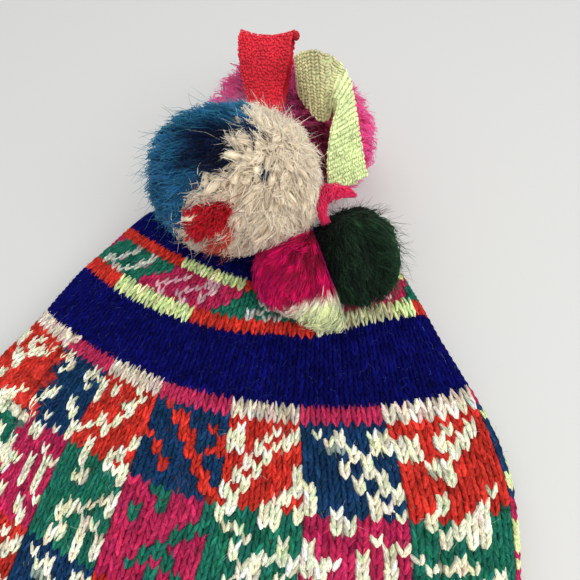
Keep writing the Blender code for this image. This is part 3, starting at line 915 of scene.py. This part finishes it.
# outlines of the coloured parts of the large pompom, as seen from the camera
blueLobe = ((120, 60), (248, 92), (238, 106), (226, 118), (211, 132), (216, 146), (224, 160),
            (214, 172), (198, 178), (184, 190), (177, 204), (177, 226), (174, 262), (120, 262))
creamLocks = (((198, 136), (216, 118), (220, 124), (204, 140)),
              ((176, 243), (192, 240), (210, 244), (206, 258), (180, 260)))
navyStreaks = (((249, 149), (262, 150), (260, 158), (252, 158)),
               ((246, 168), (260, 174), (268, 184), (256, 181)),
               ((229, 120), (243, 114), (246, 122), (234, 129)),
               ((222, 142), (232, 137), (236, 144), (226, 152)))
redWedge = ((181, 213), (200, 207), (228, 206), (228, 222), (222, 236), (196, 244), (182, 240))
orangeTip = ((205, 250), (214, 246), (226, 245), (225, 257), (208, 264))


def insideOutline(points, outline):
    x, y = points[:, 0], points[:, 1]
    inside = np.zeros(len(points), bool)
    ring = list(outline)
    for (x0, y0), (x1, y1) in zip(ring, ring[1:] + ring[:1]):
        crosses = (y0 > y) != (y1 > y)
        inside ^= crosses & (x < (x1 - x0) * (y - y0) / ((y1 - y0) or 1e-9) + x0)
    return inside


def crownTop(x, y):
    down = np.hypot(x, y)
    top, fold, left, right = sectionAt(down)
    factor = tipFactor(down)
    edge = np.maximum(np.where(x > 0, right, left) * factor, 0.001)
    across = np.minimum(np.abs(np.arctan2(x, -y)) / edge, 1.0)
    rise = (1.0 - across ** crown["upperFullness"]) ** (1 / crown["upperFullness"])
    return np.where(down < crown["tip"], -0.001, fold + (top - fold) * factor * rise)


def tuftReach(tuft, ways):
    swell = (np.sin(3.1 * ways[:, 0] + 1.3) * np.sin(2.7 * ways[:, 1] + 0.4)
             + np.sin(3.7 * ways[:, 2] + 2.1 * ways[:, 0]))
    reach = ways * np.array(tuft["radii"]) * (1.0 + 0.022 * swell)[:, None]
    length = np.linalg.norm(reach, axis=1)
    for pull in tuft["pulls"]:
        share = np.maximum(ways @ unit(np.array(pull)), 0.0) ** 4
        length = length + (np.linalg.norm(pull) - length) * share
    return unit(reach), length


def pressFlat(spots, tuft, room, slack=0.0):
    # squash the yarn behind the faces that its neighbours, the crown and the table press on it
    for point, normal in tuft["faces"]:
        normal = unit(np.array(normal))
        over = (spots - np.array(point)) @ normal + room - slack
        spots = spots - 0.9 * np.maximum(over, 0.0)[..., None] * normal
    floor = crownTop(spots[..., 0], spots[..., 1]) + 0.0010 + room
    spots[..., 2] += 0.9 * np.maximum(floor - spots[..., 2], 0.0)
    spots[..., 2] = np.maximum(spots[..., 2], 0.0001)
    return spots


def pressStrands(strands, tuft, room):
    # every strand may reach a little way past the faces, some more than others
    return pressFlat(strands, tuft, room, rng.uniform(0, tuft["slack"], (len(strands), 1)))


def evenWays(count):
    # directions spread evenly over a ball
    n = np.arange(count) + 0.5
    z = 1 - 2 * n / count
    turn = n * math.pi * (3 - math.sqrt(5))
    flat = np.sqrt(1 - z * z)
    return np.stack([flat * np.cos(turn), flat * np.sin(turn), z], -1)


def lockPaths(tuft, ends, arc, reach, deep, stray):
    # over the surface, away from the parting: each root lies under its neighbours
    parting = unit(np.array(tuft["parting"]))
    cosine = np.clip(ends @ parting, -1.0, 1.0)
    turn = np.arccos(cosine)
    lean = unit(ends - parting * cosine[:, None])
    root = np.maximum(turn - arc, turn * 0.3)
    half = (turn - root) * 0.5
    high = 2.0 * (tuft["mid"] * reach - 0.25 * (deep + reach) * np.cos(half))
    path = []
    for angle, wander, far in ((root, 1.0, deep), (turn - half, 0.6, high), (turn, 0.0, reach)):
        way = parting * np.cos(angle)[:, None] + lean * np.sin(angle)[:, None]
        rays, length = tuftReach(tuft, unit(way + stray * wander))
        path.append(tuft["middle"] + rays * (length * far)[:, None])
    return path, rays


def onPom(tuft, ways):
    # where the strands that end there show in the picture
    rays, far = tuftReach(tuft, ways)
    return onPicture(tuft["middle"] + rays * far[:, None] + apexShift)


def tuftColours(tuft, ways):
    count = len(ways)
    rays, far = tuftReach(tuft, ways)
    high = tuft["middle"][2] + rays[:, 2] * far
    picture = onPom(tuft, ways)
    x, y = picture[:, 0], picture[:, 1]
    if tuft["name"] == "largePompom":
        colours = np.tile(linear((253, 233, 202)), (count, 1))
        wavy = picture + rng.normal(0, 1.6, picture.shape)
        blue = insideOutline(wavy, blueLobe)
        shaded = 1.8 * np.exp(-((x - 199) / 32) ** 2 - ((y - 150) / 34) ** 2)
        mix = np.clip(shaded + rng.normal(0, 0.12, count), 0, 1)[:, None]
        blues = linear((30, 96, 142)) * (1 - mix) + linear((2, 12, 38)) * mix
        blues = blues * np.exp(rng.normal(0, 0.20, (count, 1)))
        colours[blue] = blues[blue]
        for outline in creamLocks:
            colours[insideOutline(wavy, outline)] = linear((244, 224, 196))
        for outline in navyStreaks:
            colours[insideOutline(picture, outline)] = linear((14, 32, 64))
        colours[insideOutline(picture, redWedge)] = linear((170, 18, 32))
        colours[insideOutline(wavy, orangeTip)] = linear((216, 62, 48))
    elif tuft["name"] == "pinkPompom":
        # painted shade: deep crimson in the crease under the green tape, where the pompom lies in
        # shadow
        crease = np.exp(-((x - 303 - (y - 105) * 0.5) / 11) ** 2) * ((y > 70) & (high > 0.042))
        crease = np.clip(crease * 1.3, 0, 0.92)[:, None]
        colours = linear((250, 76, 148)) * (1 - crease) + linear((104, 4, 40)) * crease
    elif tuft["name"] == "pinkTuft":
        # painted shade: the tuft darker towards its upper right, where it lies in shadow
        deep = np.clip((x - 290) / 20, 0, 1) * np.clip((290 - y) / 25, 0, 1)
        deep = np.clip(deep + rng.normal(0, 0.15, count), 0, 1)[:, None]
        colours = linear((214, 8, 80)) * (1 - deep) + linear((140, 4, 42)) * deep
    else:
        # painted shade: the tuft darker towards its left and top, away from the light and against
        # its neighbours
        dark = np.maximum(np.clip((350 - x) / 26, 0, 1), (228 - y) / 26)
        dark = np.clip(dark + rng.normal(0, 0.15, count), 0, 0.95)[:, None]
        colours = linear((12, 32, 18)) * (1 - dark) + linear((3, 5, 4)) * dark
    return colours


def paleTip(strands, colours):
    # the pink tuft ends in cream and yellow-green
    shape = strands.shape[:2]
    picture = onPicture(strands.reshape(-1, 3) + apexShift).reshape(*shape, 2)
    reach = picture[..., 1] + 0.30 * picture[..., 0] + rng.normal(0, 2.6, (shape[0], 1))
    part = smoothStep((reach - 394) / 5)[..., None]
    green = smoothStep((reach - 402) / 6)[..., None]
    tip = linear((252, 236, 210)) * (1 - green) + linear((236, 244, 178)) * green
    return colours * (1 - part) + tip * part


def tuftPiece(tuft, label, strands, faces, colours, material, maps):
    if tuft["name"] == "pinkTuft":
        colours = paleTip(strands, colours)
    strands[..., 1] += apexY
    thing = manyShapes(tuft["name"] + label, strands, faces, colours, material, maps)
    declare(thing, tuft["node"])
    return thing


def rootShade(bud, shade, low):
    # a strand is darker where it goes in under the others
    rooty = np.clip((bud[:, 2] + 1.0) / 2.0 * 1.4 + low - 0.2, low, 1.0)
    return shade[:, None, :] * rooty[None, :, None]


yarnBall = {
    # shares of the ball's reach or of a colour's light; rooms and thicknesses in metres
    "lockIn": 0.045, "fillReach": (0.85, 0.91), "lockShade": 0.88, "lockRoom": 0.0006,
    "fineDeeper": 0.06, "heart": 0.86, "heartShade": 0.8, "heartRoom": 0.0012,
    "hairArc": 0.35, "hairReach": 0.99, "hairDeep": 0.86, "hairThick": (0.00008, 0.00014),
}


def buildTuft(tuft):
    name = tuft["name"]
    hasWedge = name == "largePompom"
    wild = tuft["wild"]

    # every clump is a soft lock under fine strands; shorter locks fill in between
    clumps = unit(evenWays(tuft["clumps"]) + rng.normal(0, 0.03, (tuft["clumps"], 3)))
    fill = evenWays(tuft["locks"])
    if hasWedge:
        clumps = clumps[~insideOutline(onPom(tuft, clumps), redWedge)]
        fill = fill[~insideOutline(onPom(tuft, fill), redWedge)]
    total = len(clumps)
    reach = rng.uniform(0.92, 1.0, total)
    arc = tuft["arc"] * rng.uniform(0.75, 1.25, total)
    stray = rng.normal(0, wild, (total, 3))
    tone = np.exp(rng.normal(0, tuft["tone"], (total, 1)))
    shade = tuftColours(tuft, clumps) * tone

    ways = np.concatenate([clumps, fill])
    count = len(ways)
    path, rays = lockPaths(tuft, ways, np.concatenate([arc, np.full(len(fill), tuft["arc"])]),
                           np.concatenate([reach - yarnBall["lockIn"],
                                           rng.uniform(*yarnBall["fillReach"], len(fill))]),
                           np.full(count, tuft["deep"]),
                           np.concatenate([stray, rng.normal(0, wild, (len(fill), 3))]))
    bud, faces = budShape(4, 5, 0.6)
    wide = tuft["lockWidth"] * rng.uniform(0.7, 1.3, count)
    locks = bowedBuds(bud, path, rays, wide, wide * 0.7, 0.2, tuft["lockCurl"])
    locks = pressStrands(locks, tuft, yarnBall["lockRoom"])
    lockShade = np.concatenate([shade, tuftColours(tuft, fill)]) * yarnBall["lockShade"]
    tuftPiece(tuft, "Locks", locks, faces, rootShade(bud, lockShade, tuft["rooty"]), lockYarn,
              budMaps(bud, count, 1.0, 8.0))

    each = tuft["each"]
    count = total * each
    ways = unit(clumps.repeat(each, axis=0) + rng.normal(0, tuft["spread"], (count, 3)))
    reach = reach.repeat(each) + rng.normal(0, 0.010, count)
    arc = arc.repeat(each) * rng.uniform(0.5, 1.0, count)
    stray = stray.repeat(each, axis=0) + rng.normal(0, wild * 0.7, (count, 3))
    deep = np.full(count, tuft["deep"] + yarnBall["fineDeeper"])
    path, rays = lockPaths(tuft, ways, arc, reach, deep, stray)
    bud, faces = budShape(3, 4, 0.5)
    wide = tuft["width"] * rng.uniform(0.6, 1.4, count)
    fine = bowedBuds(bud, path, rays, wide, wide * 0.8, 0.3, tuft["curl"])
    fine = pressStrands(fine, tuft, 0.0)
    shade = shade.repeat(each, axis=0) * np.exp(rng.normal(0.04, 0.08, (count, 1)))
    if hasWedge:
        clear = ~insideOutline(onPicture(fine[:, -1] + apexShift), redWedge)
        fine, shade, count = fine[clear], shade[clear], int(clear.sum())
    tuftPiece(tuft, "", fine, faces, rootShade(bud, shade, tuft["rooty"]), pomYarn,
              budMaps(bud, count, 1.0, 8.0))

    # the middle that shows between the locks
    bm = bmesh.new()
    bmesh.ops.create_icosphere(bm, subdivisions=4, radius=1.0)
    ball, ballFaces = shapeArrays(bm)
    ball = unit(ball)
    rays, far = tuftReach(tuft, ball)
    core = tuft["middle"] + rays * (far * yarnBall["heart"])[:, None]
    core = pressFlat(core, tuft, yarnBall["heartRoom"])
    shade = tuftColours(tuft, ball)[None] * yarnBall["heartShade"]
    heart = tuftPiece(tuft, "Heart", core[None], ballFaces, shade, coreYarn,
                      core[None, :, :2] * 400)

    # stray fibres
    ways = unit(rng.normal(0, 1, (tuft["hairs"], 3)))
    count = len(ways)
    path, rays = lockPaths(tuft, ways, np.full(count, yarnBall["hairArc"]),
                           np.full(count, yarnBall["hairReach"]),
                           np.full(count, yarnBall["hairDeep"]),
                           rng.normal(0, wild * 1.5, ways.shape))
    out = unit(rng.normal(0, 0.5, ways.shape) + rays)
    path[2] = path[2] + out * rng.uniform(0.1, 1.0, (count, 1)) ** 1.5 * tuft["hairReach"]
    bud, faces = budShape(3, 5, 0.5)
    thin = rng.uniform(*yarnBall["hairThick"], count)
    hairs = bowedBuds(bud, path, rays, thin, thin, 0.6, 0.0016)
    hairs = pressStrands(hairs, tuft, 0.0)
    shade = tuftColours(tuft, ways) * rng.uniform(0.9, 1.4, (count, 1))
    tuftPiece(tuft, "Fluff", hairs, faces, rootShade(bud, shade, 1.0), pomYarn,
              budMaps(bud, count, 1.0, 8.0))
    print(name, "done")


def shortPile(tuft, name, outline, colour, count, wide):
    # dense cut pile standing on the ball inside one outline
    ways = evenWays(count)
    rays, far = tuftReach(tuft, ways)
    spot = tuft["middle"] + rays * far[:, None] + apexShift
    facing = ((spot - np.array(camSetup["position"])) * rays).sum(axis=1) < 0
    ways = ways[facing & insideOutline(onPicture(spot), outline)]
    ways = unit(ways + rng.normal(0, 0.012, ways.shape))
    rays, far = tuftReach(tuft, ways)
    lean = rng.normal(0, 0.0011, ways.shape)
    start = tuft["middle"] + rays * (far * 0.80)[:, None]
    end = tuft["middle"] + rays * (far * rng.uniform(0.93, 0.975, len(ways)))[:, None] + lean
    bud, faces = budShape(3, 3, 0.5)
    size = wide * rng.uniform(0.7, 1.3, len(ways))
    pile = bowedBuds(bud, (start, (start + end) / 2, end), unit(np.cross(rays, [0.3, 0.1, 1.0])),
                     size, size, -0.3, 0.0004)
    shade = np.tile(linear(colour), (len(ways), 1)) * np.exp(rng.normal(0, 0.14, (len(ways), 1)))
    tuftPiece(tuft, name, pile, faces, rootShade(bud, shade, 0.5), pomYarn,
              budMaps(bud, len(ways), 1.0, 8.0))


for tuft in (largePom, pinkPom, pinkTuft, greenTuft):
    buildTuft(tuft)
shortPile(largePom, "CrimsonPile", redWedge, (198, 18, 30), 52000, 0.00034)


greenTape = {
    "name": "greenTape", "node": "green_tape_loop", "slot": "green_tape", "bow": 0.0,
    "sag": 0.0, "fold": 9.0,
    # inside is painted shade: the darker colour of the loop's shaded inner face
    "colour": (236, 250, 184), "inside": (222, 212, 162), "pitch": 0.0021, "grain": 0.0014,
    "jitter": 0.09, "turn": (6.0, 10.0),
    # near edge and far edge of each rib, in mm, from the tie round and back
    "ribs": (((27.5, -107, 45), (44, -90, 40.5)), ((26.8, -104, 53), (41.3, -86, 47)),
             ((26.4, -101.6, 61), (38.9, -81.5, 53)), ((26.7, -98.6, 68), (36.5, -76.6, 58)),
             ((27.3, -94.8, 73.6), (34.4, -71.3, 62.6)), ((28.4, -91.4, 76.6), (32.4, -66.8, 66)),
             ((28.6, -89, 79.2), (30.8, -63.6, 68.8)), ((26.6, -87, 79.2), (28.4, -60.8, 72.4)),
             ((25.4, -86.9, 75.8), (26.2, -60.2, 75.6)), ((24.8, -87, 72.2), (24.2, -60.8, 78.4)),
             ((24.3, -87.2, 69.4), (21.9, -62.3, 81)), ((22.8, -86.6, 67), (18.6, -63, 82.6)),
             ((20.1, -84.6, 65.4), (14.5, -62, 83)), ((16.4, -79.6, 64), (10.5, -61.3, 82)),
             ((11.9, -72.8, 63), (8.2, -62.3, 82)), ((7.6, -65.1, 62), (6.4, -62.4, 80.6)),
             ((5.4, -57.8, 61), (5.6, -59.6, 78)), ((5.4, -51.6, 60.4), (7.2, -53.6, 75.4)),
             ((8.6, -47.2, 59.4), (10.6, -46.8, 70.6)), ((13.4, -46, 57.8), (15.4, -41.6, 65.4)),
             ((18.2, -52.5, 56.6), (21.2, -43.8, 60)), ((22.4, -62.5, 55.6), (28, -54, 56.6)),
             ((26, -75, 53.8), (34.5, -69, 53.6)), ((29.6, -88, 47.6), (38.4, -84, 46)),
             ((31.8, -98, 39.5), (39.6, -93, 38))),
}
redTape = {
    "name": "redTape", "node": "red_tape_loop", "slot": "red_tape", "bow": 0.0006,
    "sag": 0.0021, "fold": 5.0, "knob": (0.0030, -0.0462, 0.0788),
    # inside is painted shade: the darker colour of the loop's shaded inner face
    "colour": (232, 48, 66), "inside": (224, 40, 58), "pitch": 0.0012, "grain": 0.0011,
    "jitter": 0.22, "turn": (5.0, 6.0),
    "ribs": (((-10, -80.5, 44), (-3, -80.5, 44)), ((-14, -75.3, 54), (-2, -75, 53.6)),
             ((-18.5, -67, 62.4), (-1.2, -63.5, 61)), ((-22.8, -56, 72), (1.6, -57.6, 74)),
             ((-24, -47.8, 77.4), (1.8, -49.6, 79.6)), ((-24.2, -44.8, 78.4), (2.4, -46.6, 80.6)),
             ((-23.8, -42.4, 76.2), (2.6, -44.2, 78.6)), ((-22, -44.4, 69), (1.4, -46.4, 70.4)),
             ((-17, -56.4, 59.2), (0.4, -55.2, 60)), ((-12.4, -68, 55), (-0.6, -67.6, 55.2)),
             ((-9.6, -76.4, 44.6), (-3.4, -76.2, 44.6))),
}


def throughPoints(points, t):
    # a smooth curve through the rows of points, read at t counted in points
    ends = np.concatenate([2 * points[:1] - points[1:2], points, 2 * points[-1:] - points[-2:-1]])
    n = np.clip(t.astype(int), 0, len(points) - 2)
    u = (t - n)[:, None]
    p0, p1, p2, p3 = ends[n], ends[n + 1], ends[n + 2], ends[n + 3]
    return 0.5 * (2 * p1 + (p2 - p0) * u + (2 * p0 - 5 * p1 + 4 * p2 - p3) * u ** 2
                  + (3 * p1 - p0 - 3 * p2 + p3) * u ** 3)


def tapeSurface(tape, t, share):
    ribs = np.array(tape["ribs"]) * 0.001
    near = throughPoints(ribs[:, 0], t)
    far = throughPoints(ribs[:, 1], t)
    step = 0.02
    hi, lo = np.minimum(t + step, len(ribs) - 1.0), np.maximum(t - step, 0.0)
    ahead = throughPoints(ribs[:, 0], hi) + throughPoints(ribs[:, 1], hi)
    back = throughPoints(ribs[:, 0], lo) + throughPoints(ribs[:, 1], lo)
    run = unit(ahead - back)
    cross = unit(far - near)
    normal = unit(np.cross(run, cross))
    inner = 1 - (2 * share - 1) ** 2
    bow = tape["bow"] * inner
    spot = near + (far - near) * share[:, None] + normal * bow[:, None]
    spot[:, 2] -= tape["sag"] * inner * np.exp(-((t - tape["fold"]) / 1.6) ** 2)
    return spot + apexShift, run, cross, normal


def tapeCloth(tape, length, rows, run, fine):
    # the cloth itself, a thin closed strip
    bm = bmesh.new()
    grid = []
    for t in np.interp(np.linspace(0, length, rows * 2 + 1), run, fine):
        spots = tapeSurface(tape, np.full(9, t), np.linspace(0.012, 0.988, 9))[0]
        grid.append([bm.verts.new(p) for p in spots])
    gridFaces(bm, grid)
    area = sum(f.calc_area() for f in bm.faces)
    bmesh.ops.solidify(bm, geom=bm.faces[:], thickness=0.0006)
    mesh = toMesh(bm, tape["name"])
    # painted shade: the cloth that shows between the floats is the tape's colour at 0.8
    paintYarn(mesh, np.tile(np.append(linear(tape["colour"]) * 0.8, 1.0), len(mesh.vertices)))
    mesh.uv_layers.new(name="strand")
    return addObject(tape["name"], mesh, tapeYarn), area


def tapeFloats(tape, bud, centre, ribPitch, level):
    # short floats of yarn over one face, in ribs across the tape
    places = []
    for r, t in enumerate(centre):
        near, far = tapeSurface(tape, np.array([t, t]), np.array([0.0, 1.0]))[0]
        wide = np.linalg.norm(far - near)
        number = max(int(round(wide / tape["grain"])), 4)
        places += [(t, (n + 0.5) / number, 1.0 if r % 2 else -1.0, wide / number)
                   for n in range(number)]
    t, share, slant, grain = np.array(places).T.copy()
    slant, grain = slant[:, None], grain[:, None]
    spot, _, cross, _ = tapeSurface(tape, t, share)
    # rib spacing shrinks at the near side of a fan and grows at the far side
    hi, lo = np.minimum(t + 0.02, len(tape["ribs"]) - 1.0), np.maximum(t - 0.02, 0.0)
    half = np.full(len(t), 0.5)
    step = tapeSurface(tape, hi, share)[0] - tapeSurface(tape, lo, share)[0]
    middle = tapeSurface(tape, hi, half)[0] - tapeSurface(tape, lo, half)[0]
    local = unit(step)
    ratio = np.linalg.norm(step, axis=1) / np.maximum(np.linalg.norm(middle, axis=1), 1e-9)
    pitch = (ribPitch * np.clip(ratio, 0.25, 1.8))[:, None]
    normal = unit(np.cross(local, cross)) * level
    keep = ratio > 0.38
    spot, local, cross, normal = spot[keep], local[keep], cross[keep], normal[keep]
    pitch, grain, slant, t = pitch[keep], grain[keep], slant[keep], t[keep]
    wander = rng.normal(0, tape["jitter"], (len(t), 2))
    spot = spot + local * pitch * wander[:, :1] + cross * grain * wander[:, 1:]
    slant = slant * (1.0 + rng.normal(0, tape["jitter"] * 2, (len(t), 1)))
    lift = spot + normal * 0.00030
    foot = lift - local * pitch * 0.50 - cross * grain * 0.42 * slant * level
    head = lift + local * pitch * 0.50 + cross * grain * 0.42 * slant * level
    belly = lift + normal * 0.0005
    floats = bowedBuds(bud, (foot, belly, head), normal, grain[:, 0] * 0.48,
                       np.minimum(pitch[:, 0] * 0.3, 0.00042))
    # painted shade: past the turn the floats blend to the darker inside colour of the loop's shaded
    # inner face
    part = smoothStep((t - tape["turn"][0]) / (tape["turn"][1] - tape["turn"][0]))[:, None]
    colour = linear(tape["colour"]) * (1 - part) + linear(tape["inside"]) * part
    return floats, colour * rng.uniform(0.84, 1.14, (len(t), 1))


def tapeKnob(tape, bud, count):
    # the rolled corner at the top of the fold
    ball = unit(rng.normal(0, 1, (count, 3)))
    lay = unit(np.cross(ball, rng.normal(0, 1, (count, 3)))) * 0.0008
    spot = np.array(tape["knob"]) + ball * (0.0013, 0.0013, 0.0017) + apexShift
    knob = bowedBuds(bud, (spot - lay, spot + ball * 0.0003, spot + lay), ball,
                     np.full(count, 0.0005), np.full(count, 0.0004))
    # painted shade: the rolled corner's floats at 0.45 to 0.8 of the tape's colour
    return knob, linear(tape["colour"]) * rng.uniform(0.45, 0.8, (count, 1))


def buildTape(tape):
    # even steps along the tape's middle
    fine = np.linspace(0, len(tape["ribs"]) - 1, 1200)
    middle = tapeSurface(tape, fine, np.full(1200, 0.5))[0]
    run = np.concatenate([[0], np.cumsum(np.linalg.norm(np.diff(middle, axis=0), axis=1))])
    length = run[-1]
    rows = int(length / tape["pitch"])
    cloth, area = tapeCloth(tape, length, rows, run, fine)
    centre = np.interp((np.arange(rows) + 0.5) * length / rows, run, fine)
    bud, faces = budShape(4, 3, 0.6)
    parts = [tapeFloats(tape, bud, centre, length / rows, level) for level in (-1.0, 1.0)]
    if "knob" in tape:
        parts.append(tapeKnob(tape, bud, 90))
    spots = np.concatenate([strands for strands, _ in parts])
    weave = manyShapes(tape["name"] + "Weave", spots, faces,
                       np.concatenate([shade for _, shade in parts]), tapeYarn,
                       budMaps(bud, len(spots), 1.0, 2.0))
    for piece in (cloth, weave):
        declare(piece, tape["node"])
    print(tape["name"], "length", round(length, 4), "area", round(area, 6))


buildTape(greenTape)
buildTape(redTape)


tie = {
    # x, y, z and thickness along the knotted yarn, in mm
    "path": ((41, -110, 49, 1.3), (37, -110.6, 51, 2), (33, -111.6, 52.6, 3.1),
             (28.4, -113.4, 53.4, 4.4), (26.2, -117, 52.6, 4.2), (26.4, -121, 51.2, 2.9),
             (28, -124.4, 50.2, 1.9), (29.6, -127, 49.6, 1.1)),
    "plies": 460, "colour": (242, 42, 88), "width": 0.00036,
}


def buildTie(tie):
    # a fluffy bundle of plies, thicker at the knot
    path = np.array(tie["path"]) * 0.001
    last = len(path) - 1.001
    count = tie["plies"]
    begin = rng.uniform(0.0, last - 0.9, count)
    turn = rng.uniform(0, 2 * math.pi, count)
    off = np.sqrt(rng.uniform(0.05, 1.0, count))
    rows = []
    for n, t in enumerate((begin, begin + 0.7, np.minimum(begin + 1.4, last))):
        spot = throughPoints(path, t)
        ahead, back = throughPoints(path, np.minimum(t + 0.1, last)), throughPoints(path, t - 0.1)
        way = unit(ahead - back)[:, :3]
        side = unit(np.cross(way, np.array([0, 0, 1.0])))
        up = np.cross(side, way)
        phase = turn + n * 0.9 + rng.normal(0, 0.3, count)
        size = (spot[:, 3] * off * (1.2 if n == 1 else 0.85))[:, None]
        ring = side * np.cos(phase)[:, None] + up * np.sin(phase)[:, None]
        rows.append(spot[:, :3] + ring * size)
    bud, faces = budShape(4, 5, 0.5)
    wide = tie["width"] * rng.uniform(0.5, 1.3, count)
    plies = bowedBuds(bud, rows, unit(rng.normal(0, 1, (count, 3))), wide, wide, 0.2, 0.0024)
    plies[..., 1] += apexY
    shade = np.tile(linear(tie["colour"]), (count, 1)) * np.exp(rng.normal(0, 0.16, (count, 1)))
    thing = manyShapes("pinkTie", plies, faces, shade, pomYarn, budMaps(bud, count, 1.0, 6.0))
    declare(thing, "pink_yarn_tie")


buildTie(tie)
print("tie done")


floorLook = {"colour": (210, 210, 206), "size": 6.0}


def addFloor(look):
    bm = bmesh.new()
    bmesh.ops.create_grid(bm, x_segments=2, y_segments=2, size=look["size"])
    mat, _, shader = nodeMaterial("paleTable")
    setInputs(shader, {"Base Color": (*linear(look["colour"]), 1.0), "Roughness": 0.75,
                       "Specular IOR Level": 0.2})
    floor = addObject("tableTop", toMesh(bm, "tableTop"), mat)
    floor.data.shade_flat()


def addLight(name, place, aim, size, power):
    data = bpy.data.lights.new(name, "AREA")
    data.shape = "DISK"
    data.size = size
    data.energy = power
    lamp = bpy.data.objects.new(name, data)
    way = Vector(aim) - Vector(place)
    lamp.rotation_euler = way.to_track_quat("-Z", "Y").to_euler()
    lamp.location = place
    bpy.context.collection.objects.link(lamp)


addFloor(floorLook)
addLight("windowLight", (0.66, -0.44, 1.02), (0.0, 0.02, 0.0), 1.3, 14.2)
addLight("fillLight", (-0.7, 1.0, 1.5), (0.0, 0.05, 0.0), 1.6, 8.0)
world = bpy.data.worlds.new("softRoom")
world.use_nodes = True
setInputs(world.node_tree.nodes["Background"], {"Color": (0.95, 0.96, 1.0, 1.0), "Strength": 0.56})
bpy.context.scene.world = world
bpy.context.scene.view_settings.view_transform = "Standard"
print("floor and light done")

shown = [o for o in bpy.data.objects if o.type == "MESH" and not o.hide_render]
total = sum(len(f.vertices) - 2 for o in shown for f in o.data.polygons)
print("triangles", total)
